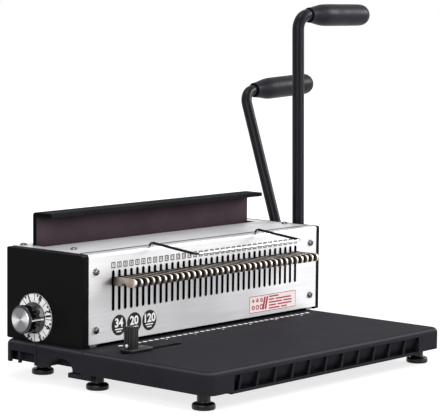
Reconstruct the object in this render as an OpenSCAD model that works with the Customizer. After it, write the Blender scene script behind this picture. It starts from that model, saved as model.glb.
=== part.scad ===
// Desk machine for wire binding, with two levers: a row of punches at the front and a wire press at the back.
// X runs along the row of punches, Y from the paper tray to the back, and Z up from the table.
// The origin is on the table, below the middle of the machine's overall box at rest.

/* [Punch row] */
// Number of punch pins, one for each hole of the spine
pin_count = 34; // [20:1:36]
// Distance between neighbouring pins
pin_pitch = 8.467; // [8.3:0.001:9]
// Side of the square pins
pin_side = 4; // [3:0.1:4.5]
// Clearance of a pin in its guide and die, on each side
pin_clear = 0.2; // [0.15:0.05:0.4]
// Distance of the pins behind the front of the panel
pin_back = 11; // [10.5:0.5:12]
// Width of the slots in the panel
slot_w = 3.8; // [2.8:0.1:4]
// Height of the slots in the panel
slot_h = 39.6; // [36:0.2:44]
// Height of the slots above the panel's lower edge
slot_rise = 30; // [26:0.5:32]

/* [Pull tabs] */
// Thickness of a pull tab
tab_t = 2.3; // [1.6:0.1:2.5]
// Reach of a pull tab in front of the panel
tab_reach = 31; // [20:1:40]
// Height of a pull tab
tab_h = 8.6; // [7:0.1:10]
// Height of the tabs above the panel's lower edge
tab_rise = 55; // [53:0.5:57]
// Radius of the finger notch below each tab
notch_r = 3; // [1.5:0.1:3.5]
// Distance of the notch in front of the panel
notch_at = 15.5; // [10:0.5:20]

/* [Housing] */
// Height of the front panel
panel_h = 87.6; // [84:0.2:95]
// Thickness of the front panel's sheet
panel_t = 2; // [1.5:0.1:2.5]
// Panel beyond the last slot at each end
row_margin = 34.65; // [33:0.05:40]
// Middle of the panel, to the right of the middle of the slots
panel_shift = 1.1; // [-2:0.1:2]
// Depth of the lip that the panel folds over the top
lip_d = 11; // [9:0.5:14]
// Outer radius of the fold in the panel
fold_r = 3; // [2.5:0.1:4]
// Depth of the housing
housing_d = 105; // [104:0.5:112]
// Thickness of the left end cover
left_cover_t = 8.8; // [7:0.1:12]
// Wall of the left end cover
cover_wall = 3; // [2:0.1:4]
// Thickness of the right end cover
right_cover_t = 5.8; // [4:0.1:7]
// Radius of the end covers' corners
cover_r = 3; // [2:0.5:5]
// Radius of the end covers' outer edges
cover_edge_r = 1.2; // [0.6:0.2:2]
// Thickness of the top and rear sheets
sheet_t = 2; // [1.5:0.1:2.5]
// Thickness of the side frames
frame_t = 9; // [8:0.5:10]
// Gap from the panel's end to a side frame
frame_gap = 4; // [3.5:0.1:5]
// Gap at seams between sheets
seam = 0.3; // [0.2:0.1:0.6]

/* [Base] */
// Width of the base
base_w = 361.5; // [356:0.5:370]
// Middle of the base, to the right of the middle of the slots
base_shift = -9.15; // [-11:0.05:-7]
// Reach of the paper tray in front of the panel
tray_d = 168.8; // [150:0.2:190]
// Reach of the base behind the front of the panel
base_back = 101; // [98:0.5:104]
// Height of the base moulding
base_h = 21.5; // [20.5:0.5:26]
// Wall of the base moulding
base_wall = 3; // [2:0.1:3.4]
// Radius of the base's upright corners
base_r = 10; // [6:0.5:14]
// Radius of the base's upper edges
base_edge_r = 5; // [3:0.5:5.5]
// Height of the paper throat between tray and panel
throat = 3; // [2:0.1:3.5]
// Width of the ribbed recess in the front
recess_w = 288.5; // [240:0.5:300]
// Shift of the recess to the right of the base's middle
recess_shift = -2.2; // [-4:0.1:2]
// Depth of the recess at its lower end
recess_d = 9; // [7:0.5:12]
// Number of ribs in the recess
rib_count = 11; // [6:1:13]
// First rib from the recess's left end
rib_in = 11; // [8:0.5:26]
// Last rib from the recess's right end
rib_out = 22.5; // [8:0.5:26]
// Thickness of a rib
rib_t = 2.4; // [1.5:0.1:3]
// Slope of the ribs' front edges
rib_slope = 3.3; // [2:0.1:5]
// Drop of the lip below the recess
recess_drop = 2.4; // [1:0.1:4]
// Height of the two low openings in the left side
side_opening_h = 11.5; // [8:0.5:13]
// Depth of those openings
side_opening_d = 10; // [6:0.5:14]
// Rib between those openings, behind the panel
side_rib_y = 79; // [70:0.5:86]

/* [Feet] */
// Height of a rubber foot
foot_h = 15.5; // [13:0.5:20]
// Diameter of a foot's pad
foot_d = 22; // [18:0.5:26]
// Thickness of a foot's pad
foot_pad_h = 6; // [4:0.5:8]
// Diameter of a foot's neck
foot_neck_d = 12.6; // [11:0.1:14]
// Front and middle feet to each side of the base's middle
foot_x = 166; // [160:0.5:168]
// Rear feet to each side of the base's middle
rear_foot_x = 146; // [120:1:160]
// Front feet behind the tray's front edge
front_foot_in = 19.5; // [18:0.5:30]
// Middle feet in front of the panel
mid_foot_y = -14; // [-30:0.5:-14]
// Rear feet behind the panel
rear_foot_y = 81.5; // [78:0.5:84]

/* [Chip drawer] */
// Front edge of the drawer, from the panel
drawer_y0 = -5.5; // [-5.5:0.5:0]
// Rear edge of the drawer, from the panel
drawer_y1 = 55; // [45:0.5:56]
// Length of the drawer
drawer_len = 330; // [250:1:336]
// Wall of the drawer
drawer_wall = 2; // [1.4:0.1:2.4]
// Thickness of the drawer's front
drawer_front_t = 3; // [2:0.1:4]
// Radius of the finger arch in the drawer's front
arch_r = 11; // [8:0.5:12]
// Middle of the finger arch, behind the panel
arch_y = 21.8; // [18:0.1:30]
// Half the straight part of the finger arch
arch_flat = 5.2; // [2:0.5:7]
// Running gap round the drawer
drawer_gap = 0.4; // [0.3:0.1:0.6]

/* [Drives] */
// Height of both shafts above the panel's lower edge
shaft_rise = 45; // [44.5:0.1:45.5]
// Punch shaft behind the panel
punch_shaft_y = 38.2; // [38:0.1:38.5]
// Closing shaft behind the panel
closing_shaft_y = 69.8; // [69.6:0.1:70]
// Diameter of both shafts
shaft_d = 15; // [13:0.5:15]
// Radial running clearance of the shafts
shaft_clear = 0.05; // [0.03:0.01:0.09]
// Gear module of pinions and racks
gear_m = 1.75; // [1.7:0.01:1.8]
// Teeth of a pinion
gear_z = 16; // [16:1:16]
// Width of pinions and racks
gear_w = 8; // [6:0.5:10]
// Backlash between pinion and rack
backlash = 0.3; // [0.2:0.05:0.5]
// Wall of the shaft bushes
bush_wall = 3; // [2:0.1:3.5]
// Travel of the punch lever in degrees
punch_turn = 85; // [60:1:88]
// Travel of the closing lever in degrees
closing_turn = 90; // [60:1:92]

/* [Levers] */
// Middle of the punch lever beyond the right end cover
punch_lever_out = 11; // [10:0.1:12]
// Distance between the two levers' middles
lever_step = 14; // [14:0.1:16]
// Diameter of the punch lever's tube
punch_tube_d = 13; // [11:0.5:14]
// Diameter of the closing lever's tube
closing_tube_d = 12; // [11:0.5:13]
// Punch lever's length from shaft to grip
punch_lever_len = 269; // [240:1:300]
// Closing lever's length from shaft to grip
closing_lever_len = 193; // [170:1:200]
// Backward lean of the punch lever in degrees
punch_lean = 1; // [0:0.5:5]
// Backward lean of the closing lever in degrees
closing_lean = 18.6; // [12:0.2:20]
// Radius of the bend in each lever
bend_r = 16; // [14:0.5:20]
// Bend of the closing lever in degrees
closing_bend = 87; // [85:0.5:90]
// Diameter of the lever hubs
hub_d = 27; // [24:0.5:28]
// Length of the grips
grip_len = 102; // [80:1:120]
// Diameter of the grips
grip_d = 24.4; // [20:0.2:28]
// Diameter of a grip at its neck
grip_neck_d = 17; // [16.4:0.2:20]
// Length of a grip's taper
grip_taper = 26; // [10:1:40]
// Radius of a grip's rounded end
grip_end_r = 9; // [4:0.5:9.5]

/* [Wire press] */
// Width of the press plate
press_w = 320.5; // [310:0.5:321]
// Thickness of the press plate
press_t = 5; // [3:0.1:5]
// Front face of the press plate, behind the panel
press_y = 86; // [86:0.1:87]
// Forward reach of the press plate's flange
press_flange = 21; // [15:0.5:26]
// Thickness of the flange
press_flange_t = 4; // [3:0.1:5]
// Rise of the press plate above the housing at rest
press_rise = 32.8; // [30:0.2:36]
// Distance of the rack plates from the press plate's ends
rack_plate_in = 18.25; // [16.5:0.25:20]
// Clearance round the press plate
press_clear = 0.5; // [0.3:0.1:0.8]
// Clearance from the press plate's ends to the side frames
press_end_gap = 0.6; // [0.4:0.1:1]

/* [Wire size dial] */
// Dial's middle behind the panel
dial_y = 64.6; // [64:0.1:65]
// Dial's middle above the panel's lower edge
dial_rise = 21; // [21:0.1:21.5]
// Diameter of the dial plate
dial_d = 47.6; // [40:0.2:47.6]
// Thickness of the dial plate
dial_t = 0.8; // [0.5:0.1:1.5]
// Diameter of the knob
knob_d = 31; // [24:0.5:34]
// Height of the knob
knob_h = 17.5; // [12:0.5:20]
// Number of flutes round the knob
flute_count = 10; // [6:1:12]
// Diameter of a flute
flute_d = 6.4; // [4:0.2:7]
// Diameter of the knob's cap
cap_d = 23.4; // [18:0.2:23.6]
// Thickness of the knob's cap
cap_t = 1.6; // [1:0.1:2.5]
// Diameter of the dial's spindle
spindle_d = 8; // [6:0.5:9]
// Smallest radius of the stop cam
cam_r0 = 7.5; // [6.5:0.5:8]
// Largest radius of the stop cam
cam_r1 = 11.5; // [9:0.5:12]

/* [Wire bail] */
// Diameter of the bail's wire
bail_d = 1.8; // [1.2:0.1:2]
// Distance between the bail's arms
bail_w = 162; // [120:1:200]
// Length of the bail's arms
bail_len = 61.6; // [40:0.2:80]
// Fall of the bail's arms towards the front
bail_fall = 6.5; // [2:0.5:10]
// Rise of the bail's arms above the housing
bail_rise = 3.7; // [3:0.1:8]
// Depth of the bail's legs below the top of the housing
bail_leg = 9; // [6:0.5:10]

/* [Edge guide] */
// Middle of the edge guide at rest, from the base's left end
guide_in = 38.9; // [35:0.1:50]
// Middle of the guide's track in front of the panel
guide_y = 42; // [36:0.5:60]
// Height of the edge guide's post
guide_h = 25; // [15:0.5:35]
// Travel of the edge guide to the right
guide_right = 55; // [30:1:60]
// Travel of the edge guide to the left
guide_left = 12; // [5:1:12]
// Width of the guide's track
track_w = 9; // [6:0.2:10]

/* [Hidden] */
$fn = 64;

// Small fits shared by several pieces
slip = 0.3;
touch = 0.05;
screw_d = 4;
head_d = 7;
head_h = 2.4;
head_edge = 0.9;
cross_w = 0.9;
cross_len = 3.8;
cross_deep = 1.1;
screw_bite = 10;
short_bite = 8;
bolt_d = 5;
frame_bolt_d = 4;
frame_head_d = 6;

// Row, panel and frames along X: the housing is as wide as the row and the press plate both need
row_span = (pin_count - 1) * pin_pitch;
press_left = 0.5;
row_half = row_span / 2 + row_margin;
press_end = press_w / 2 + press_left + press_end_gap;
press_half = press_end + frame_t + frame_gap;
rack_plate_x = press_w / 2 - rack_plate_in;
rack_step = 18;
wider = max(0, press_half - row_half);
panel_w = 2 * (row_half + wider);
panel_x0 = panel_shift - panel_w / 2;
panel_x1 = panel_shift + panel_w / 2;
left_x = panel_x0 - left_cover_t;
right_x = panel_x1 + right_cover_t;
frame_in = panel_w / 2 - frame_gap - frame_t;
frame_out = frame_in + frame_t;
function pin_x(i) = -row_span / 2 + i * pin_pitch;

// Levels along Z
tray_z = foot_h + base_h;
panel_z = tray_z + throat;
top_z = panel_z + panel_h;
shaft_z = panel_z + shaft_rise;
tab_z = panel_z + tab_rise;
under_top = top_z - sheet_t;

// Base
base_x0 = base_shift - base_w / 2 - wider;
base_x1 = base_shift + base_w / 2 + wider;
base_span = base_x1 - base_x0;
base_ceiling = tray_z - base_wall;
runner_z = foot_h + 1.5;
drawer_h = 10.5;
drawer_z1 = runner_z + drawer_h;
drawer_front_z1 = tray_z - base_edge_r - 0.5;
front_x0 = base_x0 + 0.6;
drawer_x0 = front_x0 + drawer_front_t;
drawer_x1 = base_x0 + drawer_len - 6;
drawer_z0 = runner_z + 0.3;
channel_wall = 2.2;
runner_w = 3;
mouth_len = 19;
sill_y0 = -19;
sill_y1 = 11;
sill_h = 5.5;
rib_pitch = (recess_w - rib_in - rib_out) / (rib_count - 1);
recess_x0 = base_shift + recess_shift - recess_w / 2;
recess_x1 = recess_x0 + recess_w;
recess_back = 3;
arch_depth = 14;
scoop_end = front_x0 + arch_depth;
lip_top = foot_h + 0.3;
recess_top = tray_z - base_edge_r - 1;
guide_x = base_x0 + guide_in;
guide_foot_w = 31;
guide_foot_d = 15;
guide_foot_t = 3.4;
post_x0 = -11;
post_w = 8;
post_d = 10.5;
post_rib_d = 2.4;
thumb_x = -13.4;
thumb_d = 3.6;
thumb_h = 5;
tongue_w = 8;
clamp_t = 2.4;
clamp_lap = 2;
foot_low_r = 1.4;
foot_top_r = 2.4;
foot_screw_z = 4;

// Die and guide behind the throat
die_t = 5;
die_y0 = panel_t + slip;
die_y1 = 27.5;
guide_block_h = 20;
guide_z0 = panel_z + touch;
guide_z1 = guide_z0 + guide_block_h;
stop_y = pin_back + 6.5;
die_screw_x = frame_in - 13.4;

// Places of the bolts and screws
frame_bolt_in = 2.9;
frame_bolt_x = [panel_shift - frame_in - frame_bolt_in, panel_shift + frame_in + frame_bolt_in];
frame_bolt_y = [drawer_y1 + 9, rear_foot_y + 10];
cross_bolt_z = guide_z0 + guide_block_h / 2;
cross_bolt_y = stop_y + 5;
die_screw_y = stop_y + 4.5;
top_screw_left = panel_x0 + 18;
top_screw_right = panel_x1 - frame_gap - 3.5;
top_screw_front = 38;
top_screw_rear = housing_d - 6;
top_lug = 4.8;
top_lug_h = 12;
panel_screw_in = 10;
panel_screw_x = [panel_x0 + panel_screw_in, panel_x1 - panel_screw_in];
panel_screw_z = [panel_z + 13.6, panel_z + 70.2];
rear_screw_x = [panel_shift - frame_in - frame_t / 2, panel_shift + frame_in + frame_t / 2];
rear_screw_z = [panel_z + 15, top_z - 16];
top_screw_places = [[top_screw_left, top_screw_front], [top_screw_right, top_screw_front],
                    [rear_screw_x[0], top_screw_rear], [rear_screw_x[1], top_screw_rear]];
stud_in = 12;
stud_d = 9;

// Gears: the pinions' front sides drive the racks
gear_r = gear_m * gear_z / 2;
gear_tip = gear_r + gear_m;
gear_root = gear_r - 1.25 * gear_m;
rack_tip = 0.85 * gear_m;
rack_root = 1.25 * gear_m;
tooth_step = PI * gear_m;
press_angle = 20;
punch_stroke = gear_r * punch_turn * PI / 180;
closing_stroke = gear_r * closing_turn * PI / 180;
punch_rack_y = punch_shaft_y - gear_r;
closing_rack_y = closing_shaft_y - gear_r;
rack_reach = 8;

// Punch ram round the tabs
ram_y0 = panel_t + 3;
ram_y1 = punch_rack_y - rack_root - 4.6;
ram_web = 3.5;
ram_jaw = 10.5;
tab_fit = 0.2;
ram_z0 = tab_z - tab_fit - ram_jaw;
ram_z1 = tab_z + tab_h + tab_fit + ram_jaw;
ram_half = frame_in - slip;
tab_inner = ram_y1 - ram_web - 0.5;
pin_z0 = tray_z - 3.4 + punch_stroke;
ram_rack_x = rack_plate_x - rack_step;
ram_rack_z0 = shaft_z - rack_reach;
spring_d = 8;
spring_wire = 1.2;
spring_turns = 7;
spring_x = frame_in - 8;
spring_pocket = 9;
ram_spring_z0 = guide_z1 - spring_pocket;
ram_spring_z1 = ram_z0 + spring_pocket;

// Wire press
press_x = panel_shift - press_left;
press_z1 = top_z + press_rise;
press_fold_r = 3;
bridge_h = 8.5;
bridge_z1 = shaft_z - gear_tip - 1;
bridge_z0 = bridge_z1 - bridge_h;
rack_plate_y0 = closing_rack_y - rack_root - 6.1;
rack_plate_z1 = shaft_z + closing_stroke + rack_reach;
guide_wall = 4;
guide_w = 8;
press_spring_d = 7;
press_spring_x = rack_plate_x - gear_w / 2 - press_spring_d / 2 - 1.2;
press_spring_y = press_y - press_spring_d / 2 - 0.5;
spring_pin_d = 4;
spring_pin_z1 = under_top - 6;
spring_pin_z0 = bridge_z0 + bridge_h / 2;
press_bolt_x = rack_plate_x + gear_w / 2 - screw_d / 2 - 0.6;
spring_pin_end = press_bolt_x - screw_d / 2 - touch - slip;
opening_y0 = press_y - 12;
opening_y1 = press_y + press_t + press_clear;

// Stop for the press: an arm on the closing shaft meets the dial's cam
dial_z = panel_z + dial_rise;
stop_x0 = panel_shift - frame_in + 1;
stop_w = 6;
arm_r = 20;
arm_w = 5;
arm_hub_d = 22;
arm_start = 36;
spindle_x1 = stop_x0 + stop_w + 1;

// Levers
punch_lever_x = right_x + punch_lever_out;
closing_lever_x = punch_lever_x + lever_step;
hub_w = lever_step - 1.2;
grip_bore = 0.05;
bend_lap = 0.3;
bend_slim = 0.06;
grip_start = 2;
grip_lip = 1.5;
stub_len = grip_start + grip_len * 0.75;
closing_tilt = 90 - closing_bend;
knob_x0 = left_x - dial_t - slip;
skirt_h = 3;
knob_bevel = 2;
knob_end = 3;
cap_x0 = knob_x0 - knob_h - cap_t;

// Wire bail
bail_x = -1.5;
bail_bend = 4;
socket_d = 5.2;
socket_h = 9;
bail_y = fold_r + socket_d / 2 + touch;

// Overall box at rest, which sets the origin
grip_far_punch = punch_lever_x + bend_r + grip_start + grip_len;
grip_far_closing = closing_lever_x + bend_r + (grip_start + grip_len) * cos(closing_tilt);
closing_grip_y = closing_shaft_y + closing_lever_len * sin(closing_lean);
closing_end_y = closing_grip_y + (bend_r + grip_start + grip_len) * sin(closing_tilt) * sin(closing_lean);
box_x = (cap_x0 + max(grip_far_punch, grip_far_closing)) / 2;
box_y = (-tray_d + closing_end_y + grip_d / 2) / 2;

module at_origin() {
    translate([-box_x, -box_y, 0]) children();
}

// Box given by its lowest and highest corners
module block(low, high) {
    translate(low) cube(high - low);
}

// Round bar along X, Y or Z from a point
module bar_x(from, d, len) {
    translate(from) rotate([0, 90, 0]) cylinder(d = d, h = len);
}

module bar_y(from, d, len) {
    translate(from) rotate([-90, 0, 0]) cylinder(d = d, h = len);
}

module bar_z(from, d, len) {
    translate(from) cylinder(d = d, h = len);
}

// Flat rectangle with round corners, between two corners
module rounded(low, high, r) {
    for (x = [low[0] + r, high[0] - r], y = [low[1] + r, high[1] - r]) translate([x, y]) circle(r);
    translate([low[0] + r, low[1]]) square([high[0] - low[0] - 2 * r, high[1] - low[1]]);
    translate([low[0], low[1] + r]) square([high[0] - low[0], high[1] - low[1] - 2 * r]);
}

// Points of an arc about a centre, at the given angles
function arc(centre, r, angles) = [for (a = angles) centre + r * [cos(a), sin(a)]];

// Both sides of the machine, about the middle of the panel
module both_sides() {
    for (side = [-1, 1]) translate([panel_shift, 0, 0]) scale_x(side) children();
}

module scale_x(side) {
    if (side < 0) mirror([1, 0, 0]) children();
    else children();
}

// Round slot standing up through a sheet
module upright_slot(x, z0, w, h) {
    translate([x, -1, z0 + w / 2]) rotate([-90, 0, 0]) cylinder(d = w, h = panel_t + 2);
    translate([x, -1, z0 + h - w / 2]) rotate([-90, 0, 0]) cylinder(d = w, h = panel_t + 2);
    block([x - w / 2, -1, z0 + w / 2], [x + w / 2, panel_t + 1, z0 + h - w / 2]);
}

// Screw with a domed head and a cross recess, along +Z from the head's top down
module screw(len, d = screw_d, head = head_d) {
    dome = head_h - head_edge;
    difference() {
        union() {
            rotate_extrude() polygon(concat([[0, -head_h], [head / 2, -head_h]],
                [for (a = [0:18:90]) [head / 2 * cos(a), dome * sin(a) - dome]]));
            translate([0, 0, -head_h - len]) cylinder(d = d, h = len + touch);
        }
        for (turn = [0, 90]) rotate(turn)
            translate([-cross_len / 2, -cross_w / 2, -cross_deep]) cube([cross_len, cross_w, 2 * cross_deep]);
    }
}

// Involute tooth flank: angle from the tooth's middle at radius r
function inv(a) = tan(a) * 180 / PI - a;
function flank(r) = 90 / gear_z - backlash / 2 / gear_r * 90 / PI + inv(press_angle)
    - inv(acos(min(1, gear_r * cos(press_angle) / r)));
flank_radii = [for (i = [0:6]) gear_root - 0.3 + (gear_tip - gear_root + 0.3) * i / 6];

module pinion_outline() {
    circle(gear_root, $fn = 96);
    for (i = [0:gear_z - 1]) rotate(i * 360 / gear_z) polygon(concat(
        [for (r = flank_radii) r * [cos(flank(r)), sin(flank(r))]],
        [for (k = [6:-1:0]) flank_radii[k] * [cos(flank(flank_radii[k])), -sin(flank(flank_radii[k]))]]));
}

// Pinion on the X axis with one tooth pointing to the front
module pinion(x) {
    translate([x - gear_w / 2, 0, 0]) rotate([0, 90, 0]) difference() {
        linear_extrude(gear_w) rotate(-90) pinion_outline();
        translate([0, 0, -1]) cylinder(d = shaft_d + 2 * touch, h = gear_w + 2);
    }
}

// Rack teeth along Z, pointing to the back, with a gap at height 0 and the pitch line at Y 0
module rack_teeth(w, z0, z1) {
    half = tooth_step / 4 - backlash / 4;
    first = ceil((z0 + half + 1) / tooth_step - 0.5);
    last = floor((z1 - half - 1) / tooth_step - 0.5);
    root_half = half + rack_root * tan(press_angle);
    tip_half = half - rack_tip * tan(press_angle);
    for (k = [first:last])
        translate([-w / 2, 0, (k + 0.5) * tooth_step]) rotate([90, 0, 90]) linear_extrude(w)
            polygon([[-rack_root - 0.2, -root_half], [-rack_root - 0.2, root_half], [rack_tip, tip_half],
                     [rack_tip, -tip_half]]);
}

// Coil along Z from 0 to len, as one swept tube
function coil_ring(a, len, d, wire, turns) =
    let (r = (d - wire) / 2, slope = atan(len / (turns * 2 * PI * r)))
    [for (s = [0:5]) let (u = wire / 2 * cos(s * 60), v = wire / 2 * sin(s * 60))
        [(r + u) * cos(a) + v * sin(slope) * sin(a), (r + u) * sin(a) - v * sin(slope) * cos(a),
         wire / 2 + (len - wire) * a / (turns * 360) + v * cos(slope)]];

module coil(len, d, wire, turns) {
    steps = turns * 8;
    points = [for (i = [0:steps]) each coil_ring(i * 45, len, d, wire, turns)];
    sides = [for (i = [0:steps - 1], s = [0:5]) let (a = i * 6 + s, b = i * 6 + (s + 1) % 6)
        each [[a, a + 6, b], [b, a + 6, b + 6]]];
    polyhedron(points, concat([[0, 1, 2], [0, 2, 3], [0, 3, 4], [0, 4, 5]], sides,
        [for (s = [1:4]) [steps * 6, steps * 6 + s + 1, steps * 6 + s]]));
}

// Places of the six feet
foot_places = [for (side = [-1, 1]) each [
    [base_shift + side * foot_x, -tray_d + front_foot_in],
    [base_shift + side * foot_x, mid_foot_y],
    [base_shift + side * rear_foot_x, rear_foot_y]]];

// The base's outline seen from one side, with rounded upper corners
module edge_outline(s0, s1) {
    rounded([s0, foot_h], [s1, tray_z], base_edge_r);
    translate([s0, foot_h]) square([s1 - s0, base_h / 2]);
}

// Outer form of the base: two straight runs that cross, and a turned quarter piece in each corner
module base_form() {
    left = base_x0 + base_r;
    right = base_x1 - base_r;
    front = -tray_d + base_r;
    back = base_back - base_r;
    translate([left, 0, 0]) rotate([90, 0, 90]) linear_extrude(right - left) edge_outline(-tray_d, base_back);
    translate([0, back, 0]) rotate([90, 0, 0]) linear_extrude(back - front) edge_outline(base_x0, base_x1);
    for (c = [[right, back, 0], [left, back, 90], [left, front, 180], [right, front, 270]])
        translate([c[0], c[1], 0]) rotate([0, 0, c[2]]) rotate_extrude(angle = 90) intersection() {
            edge_outline(-base_r, base_r);
            translate([0, foot_h]) square([base_r, base_h]);
        }
}

// Sloping hollow in the base's front, in YZ, extruded along X
module recess_prism() {
    translate([recess_x0, 0, 0]) rotate([90, 0, 90]) linear_extrude(recess_x1 - recess_x0) polygon([
        [-tray_d - 1, foot_h - 1], [-tray_d + recess_d, foot_h - 1], [-tray_d + recess_d, foot_h],
        [-tray_d + recess_back, recess_top], [-tray_d - 1, recess_top]]);
}

// Rib across the recess: its front edge slopes back towards the lip
module rib_form() {
    rotate([90, 0, 90]) linear_extrude(rib_t) polygon([
        [-tray_d + rib_slope, lip_top - 0.5], [-tray_d + recess_d + 1, lip_top - 0.5],
        [-tray_d + recess_d + 1, foot_h], [-tray_d + recess_back + 1, recess_top + 0.5],
        [-tray_d + 0.5, recess_top + 0.5], [-tray_d + 0.5, recess_top]]);
}

module base_tray() {
    color("#2f2e33") at_origin() difference() {
        union() {
            difference() {
                base_form();
                translate([0, 0, foot_h - 1]) linear_extrude(base_h - base_wall + 1)
                    rounded([base_x0 + base_wall, -tray_d + recess_d + 2 * base_wall],
                            [base_x1 - base_wall, base_back - base_wall], base_r - base_wall);
                recess_prism();
            }
            // Ribs and lower lip of the recess
            for (i = [0:rib_count - 1])
                translate([recess_x0 + rib_in + i * rib_pitch - rib_t / 2, 0, 0]) rib_form();
            block([recess_x0 - 1, -tray_d + rib_slope - 1, foot_h - recess_drop],
                  [recess_x1 + 1, -tray_d + recess_d + base_wall, lip_top]);
            block([recess_x0, -tray_d + recess_d, foot_h - recess_drop],
                  [recess_x1, -tray_d + recess_d + base_wall, foot_h + 2]);
            // Bosses over the feet
            for (p = foot_places) translate([p[0], p[1], foot_h]) cylinder(d = foot_neck_d, h = base_h - 1);
            // Drawer channel with its runners
            for (y = [drawer_y0 - drawer_gap - channel_wall, drawer_y1 + drawer_gap])
                block([base_x0 + 1, y, foot_h], [base_x0 + drawer_len + 2, y + channel_wall, tray_z - 1]);
            block([base_x0 + mouth_len + 1, drawer_y0 - drawer_gap - 0.5, foot_h],
                  [base_x0 + drawer_len + 2, drawer_y0 + runner_w, runner_z]);
            block([base_x0 + mouth_len + 1, drawer_y1 - runner_w, foot_h],
                  [base_x0 + drawer_len + 2, drawer_y1 + drawer_gap + 0.5, runner_z]);
            // Back wall of the low openings in the left side
            block([base_x0 + side_opening_d, drawer_y1 + drawer_gap + 0.5, foot_h],
                  [base_x0 + side_opening_d + base_wall, base_back - base_wall + 0.5, tray_z - 1]);
            // Sill below the drawer's mouth, hung from the left wall
            block([base_x0, sill_y0, foot_h - sill_h], [base_x0 + 2 * base_wall, sill_y1, foot_h]);
            block([base_x0, sill_y0, foot_h - 1],
                  [base_x0 + 2 * base_wall, drawer_y0 - drawer_gap - 1, foot_h + base_wall]);
        }
        // Mouth of the drawer in the left side
        block([base_x0 - 1, drawer_y0 - drawer_gap, foot_h - 1],
              [base_x0 + mouth_len, drawer_y1 + drawer_gap, drawer_front_z1 + drawer_gap]);
        block([base_x0 - 1, drawer_y0 - drawer_gap, runner_z],
              [base_x0 + drawer_len - 2, drawer_y1 + drawer_gap, drawer_z1 + drawer_gap]);
        // Chip opening below the die
        block([panel_shift - frame_in - slip, die_y0 - slip, tray_z - die_t - slip],
              [panel_shift + frame_in + slip, die_y1 + slip, tray_z + 1]);
        block([panel_shift - frame_in - slip, die_y0 - slip, drawer_z1],
              [panel_shift + frame_in + slip, die_y1 + slip, tray_z]);
        // Low openings in the left side behind the drawer, on both sides of a rib
        difference() {
            block([base_x0 - 1, drawer_y1 + drawer_gap + channel_wall, foot_h - 1],
                  [base_x0 + base_wall + 1, base_back - base_r, foot_h + side_opening_h]);
            block([base_x0 - 2, side_rib_y - rib_t / 2, foot_h - 2],
                  [base_x0 + base_wall + 2, side_rib_y + rib_t / 2, tray_z]);
        }
        // Track of the edge guide
        translate([0, 0, tray_z - base_wall - 1]) linear_extrude(base_wall + 2)
            rounded([guide_x - guide_left - tongue_w, -guide_y - track_w / 2],
                    [guide_x + guide_right + tongue_w, -guide_y + track_w / 2], track_w / 2 - touch);
        // Screw holes of feet and side frames
        for (p = foot_places) bar_z([p[0], p[1], foot_h - 1], screw_d + 2 * touch, base_h - 3);
        for (x = frame_bolt_x, y = frame_bolt_y)
            bar_z([x, y, base_ceiling - 1], frame_bolt_d + 2 * touch, base_wall + 2);
    }
}

module rubber_feet() {
    color("#161617") at_origin() for (p = foot_places) translate([p[0], p[1], 0]) difference() {
        rotate_extrude() polygon(concat([[0, 0]],
            arc([foot_d / 2 - foot_low_r, foot_low_r], foot_low_r, [-90:15:0]),
            arc([foot_d / 2 - foot_top_r, foot_pad_h - foot_top_r], foot_top_r, [0:15:90]),
            arc([foot_neck_d / 2 + foot_low_r, foot_pad_h + foot_low_r], foot_low_r, [-90:-22.5:-180]),
            [[foot_neck_d / 2, foot_h], [0, foot_h]]));
        translate([0, 0, -1]) cylinder(d = head_d + 2 * slip, h = foot_screw_z + 1);
        cylinder(d = screw_d + 2 * touch, h = foot_h + 1);
    }
}

module foot_screws() {
    color("#9a9a9c") at_origin() for (p = foot_places)
        translate([p[0], p[1], foot_screw_z - head_h]) mirror([0, 0, 1]) screw(foot_h + foot_screw_z);
}

// Finger arch in the drawer's front, in YZ, grown outwards by a wall and extruded along X
module finger_arch(x0, len, wall) {
    translate([x0, arch_y, foot_h]) rotate([90, 0, 90]) linear_extrude(len) union() {
        for (y = [-arch_flat, arch_flat]) translate([y, 0]) circle(arch_r + wall);
        translate([-arch_flat, -arch_r]) square([2 * arch_flat, 2 * arch_r + wall]);
    }
}

module chip_drawer() {
    color("#252428") at_origin() difference() {
        block([drawer_x0, drawer_y0 + slip, drawer_z0], [drawer_x1, drawer_y1 - slip, drawer_z1]);
        block([drawer_x0 + drawer_wall, drawer_y0 + slip + drawer_wall, drawer_z0 + drawer_wall],
              [drawer_x1 - drawer_wall, drawer_y1 - slip - drawer_wall, drawer_z1 + 1]);
        // Opening in the front wall and the floor for the finger scoop
        finger_arch(drawer_x0 - 1, scoop_end - drawer_x0 + touch + 1, drawer_wall + touch);
    }
}

// Front of the drawer with its finger arch, and the scoop behind it
module drawer_front() {
    color("#252428") at_origin() difference() {
        union() {
            block([front_x0, drawer_y0, foot_h + 0.2], [drawer_x0, drawer_y1, drawer_front_z1]);
            difference() {
                finger_arch(front_x0 + 1, arch_depth - 1, drawer_wall);
                block([front_x0, arch_y - 40, foot_h - 40], [scoop_end + 1, arch_y + 40, drawer_z0]);
            }
        }
        finger_arch(front_x0 - 1, arch_depth + 1 - drawer_wall, 0);
    }
}

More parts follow.
